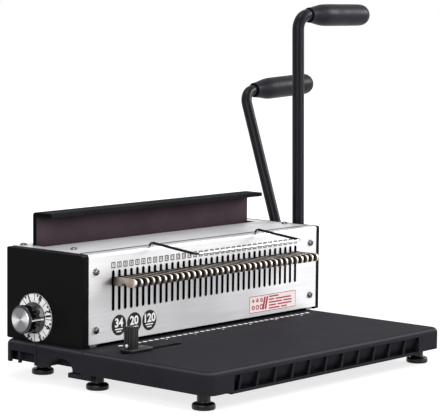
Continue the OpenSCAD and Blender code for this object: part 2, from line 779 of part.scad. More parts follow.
// Plate that carries the shafts at one end; left is -1 and right is 1
module side_frame(side) {
    x0 = side < 0 ? panel_shift - frame_out : panel_shift + frame_in;
    end = side < 0 ? 0 : 1;
    difference() {
        union() {
            block([x0, panel_t, tray_z], [x0 + frame_t, housing_d - sheet_t, under_top]);
            // Lug under the top cover's front screw on the left
            if (side < 0) block([x0 + frame_t - 1, top_screw_front - top_lug, under_top - top_lug_h],
                                [top_screw_left + top_lug, top_screw_front + top_lug, under_top]);
        }
        // Relief for the panel's fold
        block([x0 - 1, panel_t - 1, top_z - fold_r - slip], [x0 + frame_t + 1, fold_r + slip, top_z]);
        for (y = [punch_shaft_y, closing_shaft_y])
            bar_x([x0 - 1, y, shaft_z], shaft_d + 2 * bush_wall + 2 * touch, frame_t + 2);
        if (side < 0) bar_x([x0 - 1, dial_y, dial_z], spindle_d + 2 * bush_wall + 2 * touch, frame_t + 2);
        for (y = frame_bolt_y)
            bar_z([frame_bolt_x[end], y, tray_z - 1], frame_bolt_d + 2 * touch, screw_bite + 6);
        bar_x([x0 - 1, cross_bolt_y, cross_bolt_z], bolt_d + 2 * touch, frame_t + 2);
        for (z = panel_screw_z)
            bar_y([panel_screw_x[end], panel_t - 1, z], screw_d + 2 * touch, screw_bite + 4);
        bar_z([side < 0 ? top_screw_left : top_screw_right, top_screw_front, under_top - screw_bite],
              screw_d + 2 * touch, screw_bite + 1);
        bar_z([rear_screw_x[end], top_screw_rear, under_top - screw_bite], screw_d + 2 * touch,
              screw_bite + 1);
        for (z = rear_screw_z)
            bar_y([rear_screw_x[end], housing_d - sheet_t - screw_bite, z], screw_d + 2 * touch,
                  screw_bite + 2);
        // Holes for the spring pin of the press
        bar_x([x0 - 1, press_spring_y, spring_pin_z1], spring_pin_d + 2 * touch, frame_t + 2);
    }
}

module left_side_frame() {
    color("#8c8f92") at_origin() side_frame(-1);
}

module right_side_frame() {
    color("#8c8f92") at_origin() side_frame(1);
}

module frame_bolts() {
    color("#77787a") at_origin() for (x = frame_bolt_x, y = frame_bolt_y)
        translate([x, y, base_ceiling - head_h]) mirror([0, 0, 1])
            screw(base_wall + screw_bite + 2, frame_bolt_d, frame_head_d);
}

module cross_bolts() {
    color("#77787a") at_origin() both_sides()
        translate([frame_out + head_h, cross_bolt_y, cross_bolt_z]) rotate([0, 90, 0])
            screw(frame_t + screw_bite, bolt_d);
}

module front_panel() {
    color("#d9d9da") at_origin() difference() {
        union() {
            block([panel_x0, 0, panel_z], [panel_x1, panel_t, top_z - fold_r]);
            block([panel_x0, fold_r, top_z - sheet_t], [panel_x1, lip_d, top_z]);
            // Fold along the top
            intersection() {
                difference() {
                    bar_x([panel_x0, fold_r, top_z - fold_r], 2 * fold_r, panel_w);
                    bar_x([panel_x0 - 1, fold_r, top_z - fold_r], 2 * (fold_r - panel_t), panel_w + 2);
                }
                block([panel_x0, 0, top_z - fold_r], [panel_x1, fold_r, top_z]);
            }
        }
        for (i = [0:pin_count - 1]) upright_slot(pin_x(i), panel_z + slot_rise, slot_w, slot_h);
        for (x = panel_screw_x, z = panel_screw_z) bar_y([x, -1, z], screw_d + 2 * touch, panel_t + 2);
        for (side = [-1, 1])
            bar_z([bail_x + side * bail_w / 2, bail_y, top_z - sheet_t - 1], bail_d + 2 * slip, sheet_t + 2);
    }
}

module panel_screws() {
    color("#b8b8ba") at_origin() for (x = panel_screw_x, z = panel_screw_z)
        translate([x, -head_h, z]) rotate([90, 0, 0]) screw(panel_t + screw_bite);
}

module top_cover() {
    color("#b0b0b4") at_origin() difference() {
        block([panel_x0, lip_d + seam, under_top], [panel_x1, housing_d, top_z]);
        block([press_x - press_w / 2 - press_clear, opening_y0, under_top - 1],
              [press_x + press_w / 2 + press_clear, opening_y1, top_z + 1]);
        for (p = top_screw_places) bar_z([p[0], p[1], under_top - 1], screw_d + 2 * touch, sheet_t + 2);
    }
}

module top_screws() {
    color("#c2c2c4") at_origin() for (p = top_screw_places)
        translate([p[0], p[1], top_z + head_h]) screw(sheet_t + short_bite);
}

module rear_cover() {
    color("#b0b0b4") at_origin() difference() {
        block([panel_x0, housing_d - sheet_t, tray_z + 1], [panel_x1, housing_d, under_top - touch]);
        for (x = rear_screw_x, z = rear_screw_z)
            bar_y([x, housing_d - sheet_t - 1, z], screw_d + 2 * touch, sheet_t + 2);
    }
}

module rear_screws() {
    color("#b8b8ba") at_origin() for (x = rear_screw_x, z = rear_screw_z)
        translate([x, housing_d + head_h, z]) rotate([-90, 0, 0]) screw(sheet_t + short_bite);
}

// Side outline of the end covers in YZ, extruded along X
module cover_plate(x0, x1, r, inset) {
    translate([x0, 0, 0]) rotate([90, 0, 90]) linear_extrude(x1 - x0)
        rounded([inset, tray_z + inset], [housing_d - inset, top_z - inset], r);
}

// Space with rounded edges that trims a cover between two X values; the rounding is where the cover shows
module cover_trim(x0, x1) {
    translate([0, 0, tray_z]) linear_extrude(top_z - tray_z) rounded([x0, 0], [x1, housing_d], cover_edge_r);
}

module cover_trim_up(x0, x1) {
    translate([0, housing_d, 0]) rotate([90, 0, 0]) linear_extrude(housing_d)
        rounded([x0, tray_z], [x1, top_z], cover_edge_r);
}

module left_end_cover() {
    past = panel_x0 + frame_gap;
    color("#1b1b1c") at_origin() difference() {
        union() {
            difference() {
                intersection() {
                    cover_plate(left_x, panel_x0, cover_r, 0);
                    cover_trim(left_x, past);
                    cover_trim_up(left_x, past);
                }
                cover_plate(left_x + cover_wall, panel_x0 + 1, cover_r, cover_wall);
            }
            // Studs that reach to the side frame, and the boss round the spindle
            for (y = [stud_in, housing_d - stud_in], z = [tray_z + stud_in, top_z - stud_in])
                bar_x([left_x + cover_wall - 1, y, z], stud_d, left_cover_t - cover_wall + 1 + frame_gap);
            bar_x([left_x + cover_wall - 1, dial_y, dial_z], spindle_d + 8, left_cover_t - cover_wall);
        }
        bar_x([left_x - 1, dial_y, dial_z], spindle_d + 2 * slip, left_cover_t + 2);
    }
}

module right_end_cover() {
    past = panel_x1 - frame_gap;
    color("#1b1b1c") at_origin() difference() {
        union() {
            intersection() {
                cover_plate(panel_x1, right_x, cover_r, 0);
                cover_trim(past, right_x);
                cover_trim_up(past, right_x);
            }
            for (y = [stud_in, housing_d - stud_in], z = [tray_z + stud_in, top_z - stud_in])
                bar_x([past, y, z], stud_d, frame_gap + 1);
        }
        for (y = [punch_shaft_y, closing_shaft_y])
            bar_x([panel_x1 - 1, y, shaft_z], shaft_d + 4 * slip, right_cover_t + 2);
    }
}

// Square holes for all the pins, through a plate
module pin_holes(z0, z1, clear) {
    half = pin_side / 2 + clear;
    for (i = [0:pin_count - 1])
        block([pin_x(i) - half, pin_back - half, z0], [pin_x(i) + half, pin_back + half, z1]);
}

module die_plate() {
    color("#8d9094") at_origin() difference() {
        block([panel_shift - frame_in, die_y0, tray_z - die_t], [panel_shift + frame_in, die_y1, tray_z]);
        pin_holes(tray_z - die_t - 1, tray_z + 1, pin_clear);
        both_sides() bar_z([die_screw_x, die_screw_y, tray_z - die_t - 1], screw_d + 2 * touch, die_t + 2);
    }
}

module die_screws() {
    color("#77787a") at_origin() both_sides()
        translate([die_screw_x, die_screw_y, tray_z - die_t - head_h]) mirror([0, 0, 1])
            screw(die_t + throat + short_bite);
}

module paper_stop() {
    color("#85888c") at_origin() difference() {
        block([panel_shift - frame_in, stop_y, tray_z], [panel_shift + frame_in, die_y1, panel_z]);
        both_sides() bar_z([die_screw_x, die_screw_y, tray_z - 1], screw_d + 2 * touch, throat + 2);
    }
}

module punch_guide() {
    color("#85888c") at_origin() difference() {
        block([panel_shift - frame_in, panel_t + slip, guide_z0], [panel_shift + frame_in, die_y1, guide_z1]);
        pin_holes(guide_z0 - 1, guide_z1 + 1, pin_clear);
        both_sides() {
            bar_z([die_screw_x, die_screw_y, guide_z0 - 1], screw_d + 2 * touch, short_bite + 2);
            bar_x([frame_in - screw_bite - 1, cross_bolt_y, cross_bolt_z], bolt_d + 2 * touch,
                  screw_bite + 2);
            bar_z([spring_x, pin_back, ram_spring_z0], spring_d + 1, spring_pocket + 1);
            // Room for the racks at the end of the stroke
            block([ram_rack_x - gear_w / 2 - slip, ram_y1 - slip, ram_rack_z0 - punch_stroke - 2 * slip],
                  [ram_rack_x + gear_w / 2 + slip, die_y1 + 1, guide_z1 + 1]);
        }
    }
}

module punch_pins() {
    color("#a3a6aa") at_origin() for (i = [0:pin_count - 1])
        block([pin_x(i) - pin_side / 2, pin_back - pin_side / 2, pin_z0],
              [pin_x(i) + pin_side / 2, pin_back + pin_side / 2, tab_z - touch]);
}

// One tab: a flat bar with a round nose and a finger notch below
module selector_tab() {
    nose = tab_h / 2;
    rotate([90, 0, 90]) translate([0, 0, -tab_t / 2]) linear_extrude(tab_t) difference() {
        union() {
            translate([-tab_reach + nose, 0]) square([tab_reach - nose + tab_inner, tab_h]);
            translate([-tab_reach + nose, nose]) circle(nose);
        }
        translate([-notch_at, 0]) circle(notch_r);
    }
}

module selector_tabs() {
    color("#988d84") at_origin() for (i = [0:pin_count - 1]) translate([pin_x(i), 0, tab_z]) selector_tab();
}

module punch_ram() {
    color("#6f7276") at_origin() difference() {
        block([panel_shift - ram_half, ram_y0, ram_z0], [panel_shift + ram_half, ram_y1, ram_z1]);
        block([panel_shift - spring_x + spring_d, ram_y0 - 1, tab_z - tab_fit],
              [panel_shift + spring_x - spring_d, ram_y1 - ram_web, tab_z + tab_h + tab_fit]);
        pin_holes(ram_z0 - 1, tab_z, pin_clear / 2);
        both_sides() bar_z([spring_x, pin_back, ram_z0 - 1], spring_d + 1, spring_pocket + 1);
    }
}

module ram_racks() {
    color("#5f6265") at_origin() both_sides() translate([ram_rack_x, punch_rack_y, shaft_z]) {
        block([-gear_w / 2, ram_y1 - punch_rack_y, -rack_reach],
              [gear_w / 2, -rack_root, punch_stroke + rack_reach]);
        rack_teeth(gear_w, -rack_reach, punch_stroke + rack_reach);
    }
}

module ram_springs() {
    color("#a9abad") at_origin() both_sides() translate([spring_x, pin_back, ram_spring_z0 + touch])
        coil(ram_spring_z1 - ram_spring_z0 - 2 * touch, spring_d, spring_wire, spring_turns);
}

// Shaft from the left frame to a lever's outer face
module drive_shaft(y, end_x) {
    bar_x([panel_shift - frame_out + 1, y, shaft_z], shaft_d, end_x - panel_shift + frame_out - 1);
}

module punch_shaft() {
    color("#9b9da0") at_origin() drive_shaft(punch_shaft_y, punch_lever_x + hub_w / 2);
}

module closing_shaft() {
    color("#9b9da0") at_origin() drive_shaft(closing_shaft_y, closing_lever_x + hub_w / 2);
}

module punch_pinions() {
    color("#7b7e82") at_origin() translate([panel_shift, punch_shaft_y, shaft_z])
        for (side = [-1, 1]) pinion(side * ram_rack_x);
}

module closing_pinions() {
    color("#7b7e82") at_origin() translate([panel_shift, closing_shaft_y, shaft_z])
        for (side = [-1, 1]) pinion(side * rack_plate_x);
}

// Flanged bushes in both frames
module bushes(y) {
    both_sides() difference() {
        union() {
            bar_x([frame_in, y, shaft_z], shaft_d + 2 * bush_wall, frame_t);
            bar_x([frame_out, y, shaft_z], shaft_d + 2 * bush_wall + 4, 1.5);
        }
        bar_x([frame_in - 1, y, shaft_z], shaft_d + 2 * shaft_clear, frame_t + 4);
    }
}

module punch_bushes() {
    color("#b08d4f") at_origin() bushes(punch_shaft_y);
}

module closing_bushes() {
    color("#b08d4f") at_origin() bushes(closing_shaft_y);
}

// Bend of a round bar that comes along Z and turns towards X
module elbow(d, r, turn) {
    translate([r, 0, 0]) rotate([90, 0, 0]) rotate(180 - turn)
        rotate_extrude(angle = turn) translate([r, 0]) circle(d = d - bend_slim);
}

// Frame at the end of such a bend, with Z along the bar
module after_elbow(r, turn) {
    translate([r, 0, 0]) rotate([0, turn - 90, 0]) translate([0, 0, r]) rotate([0, 90, 0]) children();
}

// Lever in its own plane: hub, straight tube, bend and a stub for the grip
module lever(len, tube_d, bend) {
    rise = len - bend_r;
    difference() {
        union() {
            bar_x([-hub_w / 2, 0, 0], hub_d, hub_w);
            cylinder(d = tube_d, h = rise + bend_lap);
            translate([0, 0, rise]) elbow(tube_d, bend_r, bend);
            lever_end(len, bend) translate([0, 0, -bend_lap]) cylinder(d = tube_d, h = stub_len + bend_lap);
        }
        bar_x([-hub_w, 0, 0], shaft_d + 2 * touch, 2 * hub_w);
        translate([0, 0, -hub_d]) cylinder(d = screw_d + 2 * touch, h = hub_d);
    }
}

// Frame at the end of the bend, with Z along the grip
module lever_end(len, bend) {
    translate([0, 0, len - bend_r]) after_elbow(bend_r, bend) children();
}

module punch_place() {
    at_origin() translate([punch_lever_x, punch_shaft_y, shaft_z]) rotate([-punch_lean, 0, 0]) children();
}

module closing_place() {
    at_origin() translate([closing_lever_x, closing_shaft_y, shaft_z])
        rotate([-closing_lean, 0, 0]) children();
}

module punch_lever() {
    color("#2d2d31") punch_place() lever(punch_lever_len, punch_tube_d, 90);
}

module closing_lever() {
    color("#2d2d31") closing_place() lever(closing_lever_len, closing_tube_d, closing_bend);
}

// Set screw below the hub
module hub_screw() {
    difference() {
        translate([0, 0, -hub_d / 2]) cylinder(d = screw_d, h = hub_d / 2 - shaft_d / 2 - touch);
        translate([0, 0, -hub_d / 2 - 1]) cylinder(d = 2, h = 3, $fn = 6);
    }
}

module punch_lever_screw() {
    color("#77787a") punch_place() hub_screw();
}

module closing_lever_screw() {
    color("#77787a") closing_place() hub_screw();
}

// Moulded grip: a swelling neck, a straight part and a rounded end
function grip_swell(t) = grip_neck_d / 2 + (grip_d - grip_neck_d) / 4 * (1 - cos(180 * t));

module grip(tube_d) {
    difference() {
        translate([0, 0, grip_start]) rotate_extrude() polygon(concat(
            [[0, 0]],
            arc([grip_neck_d / 2 - grip_lip, grip_lip], grip_lip, [-90:30:0]),
            [for (i = [1:10]) [grip_swell(i / 10), grip_lip + (grip_taper - grip_lip) * i / 10]],
            arc([grip_d / 2 - grip_end_r, grip_len - grip_end_r], grip_end_r, [0:10:90]),
            [[0, grip_len]]));
        translate([0, 0, -1]) cylinder(d = tube_d + 2 * grip_bore, h = stub_len + 1 + touch);
    }
}

module punch_grip() {
    color("#2a2930") punch_place() lever_end(punch_lever_len, 90) grip(punch_tube_d);
}

module closing_grip() {
    color("#2a2930") closing_place() lever_end(closing_lever_len, closing_bend) grip(closing_tube_d);
}

module press_plate() {
    color("#3c3038") at_origin() difference() {
        union() {
            block([press_x - press_w / 2, press_y, bridge_z0],
                  [press_x + press_w / 2, press_y + press_t, press_z1 - press_fold_r]);
            block([press_x - press_w / 2, press_y - press_flange, press_z1 - press_flange_t],
                  [press_x + press_w / 2, press_y + press_t - press_fold_r, press_z1]);
            bar_x([press_x - press_w / 2, press_y + press_t - press_fold_r, press_z1 - press_fold_r],
                  2 * press_fold_r, press_w);
        }
        both_sides() bar_y([press_bolt_x, press_y - 1, spring_pin_z0], screw_d + 2 * touch, press_t + 2);
    }
}

// Plate below the press on each side: its front arm carries the rack, and the shaft passes inside its bend
module press_rack_plates() {
    color("#5f6265") at_origin() both_sides() difference() {
        translate([rack_plate_x, 0, 0]) union() {
            block([-gear_w / 2, rack_plate_y0, bridge_z0],
                  [gear_w / 2, closing_rack_y - rack_root, rack_plate_z1]);
            block([-gear_w / 2, rack_plate_y0, bridge_z0], [gear_w / 2, press_y, bridge_z1]);
            translate([0, closing_rack_y, shaft_z])
                rack_teeth(gear_w, -rack_reach, closing_stroke + rack_reach);
        }
        bar_y([press_bolt_x, press_y - short_bite, spring_pin_z0], screw_d + 2 * touch, short_bite + 1);
        bar_x([rack_plate_x - gear_w, press_spring_y, spring_pin_z0], spring_pin_d + 2 * touch,
              spring_pin_end + touch - rack_plate_x + gear_w);
    }
}

module press_bolts() {
    color("#77787a") at_origin() both_sides()
        translate([press_bolt_x, press_y + press_t + head_h, spring_pin_z0]) rotate([-90, 0, 0])
            screw(press_t + short_bite - 1);
}

// Guide blocks on the frames, in front of the rack arms and behind the plate
module press_guides() {
    guide_x0 = rack_plate_x - gear_w / 2;
    color("#3b3b3d") at_origin() both_sides() {
        block([guide_x0, rack_plate_y0 - slip - guide_wall, shaft_z + shaft_d / 2 + 3],
              [frame_in, rack_plate_y0 - slip, rack_plate_z1]);
        block([guide_x0 - 6, press_y + press_t + 2 * slip + head_h, panel_z + 10],
              [frame_in, housing_d - sheet_t, under_top - 1]);
        block([press_end - guide_w, press_y + press_t + slip, panel_z + 10],
              [frame_in, housing_d - sheet_t, under_top - 1]);
    }
}

module press_springs() {
    color("#a9abad") at_origin() both_sides()
        translate([press_spring_x, press_spring_y, spring_pin_z0 + spring_pin_d / 2 + touch])
        coil(spring_pin_z1 - spring_pin_z0 - spring_pin_d - 2 * touch, press_spring_d, spring_wire,
             spring_turns);
}

module spring_pins() {
    color("#9b9da0") at_origin() both_sides()
        bar_x([press_spring_x - press_spring_d / 2 - 1, press_spring_y, spring_pin_z1], spring_pin_d,
              frame_out - press_spring_x + press_spring_d / 2 + 1);
}

module press_spring_pins() {
    color("#9b9da0") at_origin() both_sides()
        bar_x([press_spring_x - press_spring_d / 2 - 1, press_spring_y, spring_pin_z0], spring_pin_d,
              spring_pin_end - press_spring_x + press_spring_d / 2 + 1);
}

module stop_arm() {
    color("#7b7e82") at_origin() translate([stop_x0, closing_shaft_y, shaft_z]) rotate([arm_start, 0, 0])
        difference() {
            union() {
                bar_x([0, 0, 0], arm_hub_d, stop_w);
                block([0, -arm_w / 2, 0], [stop_w, arm_w / 2, arm_r]);
            }
            bar_x([-1, 0, 0], shaft_d + 2 * touch, stop_w + 2);
        }
}

// Cam whose radius grows once round, with a step
module stop_cam() {
    color("#8d9094") at_origin() translate([stop_x0, dial_y, dial_z]) rotate([90, 0, 90])
        linear_extrude(stop_w) difference() {
            polygon([for (a = [0:15:345]) (cam_r0 + (cam_r1 - cam_r0) * a / 345) * [cos(a), sin(a)]]);
            circle(d = spindle_d + 2 * touch);
        }
}

module dial_spindle() {
    knob_inner = knob_x0 - knob_h + knob_end;
    color("#9b9da0") at_origin()
        bar_x([knob_inner + 1, dial_y, dial_z], spindle_d, spindle_x1 - knob_inner - 1);
}

module spindle_bush() {
    color("#b08d4f") at_origin() difference() {
        bar_x([panel_shift - frame_out, dial_y, dial_z], spindle_d + 2 * bush_wall, frame_t);
        bar_x([panel_shift - frame_out - 1, dial_y, dial_z], spindle_d + 2 * shaft_clear, frame_t + 2);
    }
}

module dial_plate() {
    color("#f2f2f0") at_origin() difference() {
        bar_x([left_x - dial_t, dial_y, dial_z], dial_d, dial_t);
        bar_x([left_x - dial_t - 1, dial_y, dial_z], spindle_d + 4 * slip, dial_t + 2);
    }
}

module dial_knob() {
    color("#1f1f21") at_origin() translate([knob_x0, dial_y, dial_z]) rotate([0, -90, 0]) difference() {
        union() {
            cylinder(d = knob_d, h = skirt_h);
            translate([0, 0, skirt_h]) linear_extrude(knob_h - skirt_h - knob_bevel) difference() {
                circle(d = knob_d - 2);
                for (i = [0:flute_count - 1]) rotate(i * 360 / flute_count) translate([knob_d / 2, 0])
                    circle(d = flute_d, $fn = 32);
            }
            translate([0, 0, knob_h - knob_bevel]) cylinder(d1 = knob_d - 4.4, d2 = cap_d, h = knob_bevel);
        }
        translate([0, 0, -1]) cylinder(d = spindle_d + 2 * touch, h = knob_h - knob_end + 1);
    }
}

module knob_cap() {
    color("#d4d4d6") at_origin() translate([knob_x0 - knob_h, dial_y, dial_z]) rotate([0, -90, 0])
        rotate_extrude() polygon([[0, 0], [cap_d / 2, 0], [cap_d / 2, cap_t - 0.5], [cap_d / 2 - 0.5, cap_t],
                                  [cap_d / 2 - 2.5, cap_t - 0.4], [0, cap_t - 0.4]]);
}

// Wire bent into two legs, two sloping arms and a cross run
module wire_bail() {
    slope = atan(bail_fall / bail_len);
    leg_len = bail_leg + bail_rise - bail_bend;
    arm_len = (bail_len - bail_bend - bail_bend * sin(slope)) / cos(slope) - bail_bend;
    color("#1d1d1f") at_origin() for (side = [-1, 1])
        translate([bail_x + side * bail_w / 2, bail_y, top_z - bail_leg]) rotate([0, 0, -90]) {
            cylinder(d = bail_d, h = leg_len + bend_lap);
            translate([0, 0, leg_len]) elbow(bail_d, bail_bend, 90 + slope);
            translate([0, 0, leg_len]) after_elbow(bail_bend, 90 + slope) {
                translate([0, 0, -bend_lap]) cylinder(d = bail_d, h = arm_len + 2 * bend_lap);
                translate([0, 0, arm_len]) rotate([0, 0, -side * 90]) {
                    elbow(bail_d, bail_bend, 90);
                    if (side < 0) after_elbow(bail_bend, 90) translate([0, 0, -bend_lap])
                        cylinder(d = bail_d, h = bail_w - 2 * bail_bend + 2 * bend_lap);
                }
            }
        }
}

module bail_sockets() {
    color("#303033") at_origin() for (side = [-1, 1])
        translate([bail_x + side * bail_w / 2, bail_y, under_top - socket_h]) difference() {
            cylinder(d = socket_d, h = socket_h);
            translate([0, 0, socket_h - (bail_leg - sheet_t) - slip])
                cylinder(d = bail_d + 2 * slip, h = socket_h);
        }
}

// Sliding paper stop on the tray: a foot plate, a ribbed post, a thumb screw and a tongue in the track
module edge_guide() {
    color("#1a1a1b") at_origin() translate([guide_x, -guide_y, tray_z]) {
        block([-guide_foot_w / 2, -guide_foot_d / 2, touch],
              [guide_foot_w / 2, guide_foot_d / 2, guide_foot_t]);
        block([post_x0, -post_d / 2, guide_foot_t - 1], [post_x0 + post_w, post_d / 2, guide_h]);
        for (i = [0:2])
            bar_z([post_x0 + post_rib_d / 2 + i * (post_w - post_rib_d) / 2, -post_d / 2, guide_foot_t - 1],
                  post_rib_d, guide_h - guide_foot_t + 1);
        bar_z([thumb_x, 0, guide_foot_t - 1], thumb_d, thumb_h + 1);
        translate([0, 0, -base_wall - 0.4]) linear_extrude(base_wall + 1.4)
            rounded([-tongue_w + 2 * slip, -track_w / 2 + slip], [tongue_w - 2 * slip, track_w / 2 - slip],
                    track_w / 2 - slip - touch);
    }
}

module guide_clamp() {
    color("#303033") at_origin() translate([guide_x, -guide_y, base_ceiling - 0.4]) {
        block([-tongue_w, -track_w / 2 - clamp_lap, -clamp_t], [tongue_w, track_w / 2 + clamp_lap, 0]);
        translate([0, 0, -2 * clamp_t]) cylinder(d = tongue_w, h = clamp_t + 1);
    }
}

base_tray();
rubber_feet();
foot_screws();
chip_drawer();
drawer_front();
left_side_frame();
right_side_frame();
frame_bolts();
cross_bolts();
front_panel();
panel_screws();
top_cover();
top_screws();
rear_cover();
rear_screws();
left_end_cover();
right_end_cover();
die_plate();
die_screws();
paper_stop();
punch_guide();
punch_pins();
selector_tabs();
punch_ram();
ram_racks();
ram_springs();
punch_shaft();
punch_pinions();
punch_bushes();
punch_lever();
punch_lever_screw();
punch_grip();
closing_shaft();
closing_pinions();
closing_bushes();
closing_lever();
closing_lever_screw();
closing_grip();
press_plate();
press_rack_plates();
press_bolts();
press_guides();
press_springs();
spring_pins();
press_spring_pins();
stop_arm();
stop_cam();
dial_spindle();
spindle_bush();
dial_plate();
dial_knob();
knob_cap();
wire_bail();
bail_sockets();
edge_guide();
guide_clamp();
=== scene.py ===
import math

import bpy
from mathutils import Matrix, Vector


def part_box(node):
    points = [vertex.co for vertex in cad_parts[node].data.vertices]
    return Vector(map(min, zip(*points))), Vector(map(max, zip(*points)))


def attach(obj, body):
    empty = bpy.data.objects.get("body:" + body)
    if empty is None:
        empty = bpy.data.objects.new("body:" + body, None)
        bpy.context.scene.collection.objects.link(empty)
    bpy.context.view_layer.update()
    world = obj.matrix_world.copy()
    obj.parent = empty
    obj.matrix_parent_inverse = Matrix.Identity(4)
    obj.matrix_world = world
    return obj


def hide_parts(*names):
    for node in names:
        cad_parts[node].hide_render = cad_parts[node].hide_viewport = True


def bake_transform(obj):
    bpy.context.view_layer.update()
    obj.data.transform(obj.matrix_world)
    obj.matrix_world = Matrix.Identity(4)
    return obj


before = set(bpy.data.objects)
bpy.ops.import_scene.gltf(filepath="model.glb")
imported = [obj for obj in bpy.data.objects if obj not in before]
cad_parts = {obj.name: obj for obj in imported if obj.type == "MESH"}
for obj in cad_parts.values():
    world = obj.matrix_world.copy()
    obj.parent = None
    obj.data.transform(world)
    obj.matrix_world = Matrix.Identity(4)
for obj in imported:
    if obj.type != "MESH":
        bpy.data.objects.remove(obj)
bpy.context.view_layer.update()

# Sizes in metres, and the places that the solids give
MM = 0.001
PRINT_T = 0.06 * MM
PANEL_LOW, PANEL_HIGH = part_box("front_panel")
TABS_LOW, TABS_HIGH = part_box("selector_tabs")
KNOB_LOW, KNOB_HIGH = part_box("dial_knob")
KNOB_MIDDLE = (KNOB_LOW + KNOB_HIGH) / 2
BAIL_LOW, BAIL_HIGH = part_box("wire_bail")
DIAL_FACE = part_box("dial_plate")[0].x
TRAY_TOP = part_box("base_tray")[1].z
# The panel's fold begins at this height, and the press plate's flange lies in front of this depth
PANEL_FOLD = PANEL_HIGH.z - 5 * MM
PRESS_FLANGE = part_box("press_plate")[1].y - 5.5 * MM
# One tab to a slot, at an even pitch
SLOTS = 34
TAB_T = 2.3 * MM
ROW_START = TABS_LOW.x + TAB_T / 2
PITCH = (TABS_HIGH.x - TABS_LOW.x - TAB_T) / (SLOTS - 1)


def linear(hex_colour):
    """Turn an sRGB hex colour into linear RGBA."""
    channels = [int(hex_colour[i:i + 2], 16) / 255 for i in (1, 3, 5)]
    return [c / 12.92 if c <= 0.04045 else ((c + 0.055) / 1.055) ** 2.4 for c in channels] + [1.0]


def add(tree, kind, links=None, values=None, stops=(), **settings):
    """Add a node with its settings, socket values, the sockets that feed it, and a ramp's rising stops."""
    node = tree.nodes.new("ShaderNode" + kind)
    for name, value in settings.items():
        setattr(node, name, value)
    for socket, value in (values or {}).items():
        node.inputs[socket].default_value = value
    for socket, source in (links or {}).items():
        tree.links.new(source, node.inputs[socket])
    for i, (place, colour) in enumerate(stops):
        elements = node.color_ramp.elements
        stop = elements[i] if i < 2 else elements.new(place)
        stop.position = place
        stop.color = linear(colour)
    return node


def start_material(name, values):
    """New material: a shader with its even values, and the object's own coordinates."""
    material = bpy.data.materials.new(name)
    material.use_nodes = True
    tree = material.node_tree
    tree.nodes.clear()
    shader = add(tree, "BsdfPrincipled", values=values)
    add(tree, "OutputMaterial", {"Surface": shader.outputs["BSDF"]})
    place = add(tree, "TexCoord").outputs["Object"]
    return material, tree, shader, place


def feed(tree, shader, **sources):
    """Link sources to the shader's sockets; an underscore stands for a space."""
    for name, source in sources.items():
        tree.links.new(source, shader.inputs[name.replace("_", " ")])


def around(middle, spread):
    """Limits that carry a noise's usual tones to values around a middle one."""
    return {"From Min": 0.3, "From Max": 0.7, "To Min": middle - spread, "To Max": middle + spread}


def soft_edges(tree, radius):
    """Normal of edges broken by that radius, and a value that is 1 on the flat and falls towards an edge."""
    normal = add(tree, "Bevel", values={"Radius": radius}, samples=6).outputs["Normal"]
    true_normal = add(tree, "NewGeometry").outputs["Normal"]
    along = add(tree, "VectorMath", {0: normal, 1: true_normal}, operation="DOT_PRODUCT").outputs["Value"]
    return normal, along


def moulded_abs(name, shade, highlight, rough, gloss, grain):
    """ABS from a spark-eroded mould: a fine matt grain, edges a little worn by hands, a painted highlight on
    rounded upper edges, and painted shade in pockets.
    """
    material, tree, shader, place = start_material(name, {"Specular IOR Level": gloss})
    cloud = add(tree, "TexNoise", {"Vector": place},
                {"Scale": 1 / (35 * MM), "Detail": 4.0, "Roughness": 0.6}).outputs["Fac"]
    # The mould's grit is about 0.15 mm; it is drawn coarser, at the given grain, so that it shows
    grit = add(tree, "TexNoise", {"Vector": place},
               {"Scale": 1 / grain, "Detail": 2.0, "Roughness": 0.5}).outputs["Fac"]
    normal, flat = soft_edges(tree, 0.7 * MM)
    body = add(tree, "ValToRGB", {"Fac": cloud}, stops=[(0.3, shade), (0.75, highlight)]).outputs["Color"]
    worn = add(tree, "MapRange", {"Value": flat},
               {"From Min": 0.80, "From Max": 0.98, "To Min": 0.35, "To Max": 0.0}).outputs["Result"]
    # Rounded upper edges, where the normal lies between up and level, get a painted highlight
    up = add(tree, "SeparateXYZ", {"Vector": add(tree, "NewGeometry").outputs["Normal"]}).outputs["Z"]
    level = add(tree, "Math", {0: up, 1: up}, operation="MULTIPLY").outputs["Value"]
    rest = add(tree, "Math", {0: level}, {1: -4.0, 2: 4.0}, operation="MULTIPLY_ADD").outputs["Value"]
    bend = add(tree, "Math", {0: level, 1: rest}, operation="MULTIPLY").outputs["Value"]
    rounded = add(tree, "MapRange", {"Value": bend}, {"From Min": 0.6, "To Max": 0.35}).outputs["Result"]
    wear_and_painted_highlight = add(tree, "Math", {0: worn, 1: rounded}, operation="MAXIMUM").outputs["Value"]
    # Painted shade: pockets and inner corners are darkened where ambient occlusion finds them closed in
    open_air = add(tree, "AmbientOcclusion", values={"Distance": 14 * MM}, samples=8).outputs["AO"]
    unoccluded = add(tree, "MapRange", {"Value": open_air}, {"From Min": 0.3, "From Max": 0.8}).outputs["Result"]
    with_painted_shade = add(tree, "Mix", {"Factor": unoccluded, "B": body}, {"A": linear("#08080a")},
                data_type="RGBA").outputs["Result"]
    colour = add(tree, "Mix", {"Factor": wear_and_painted_highlight, "A": with_painted_shade}, {"B": linear("#5a5a60")},
                 data_type="RGBA").outputs["Result"]
    dull = add(tree, "MapRange", {"Value": cloud}, around(rough, 0.06)).outputs["Result"]
    bump = add(tree, "Bump", {"Height": grit, "Normal": normal},
               {"Strength": 0.25, "Distance": 0.08 * MM}).outputs["Normal"]
    feed(tree, shader, Base_Color=colour, Roughness=dull, Normal=bump)
    return material


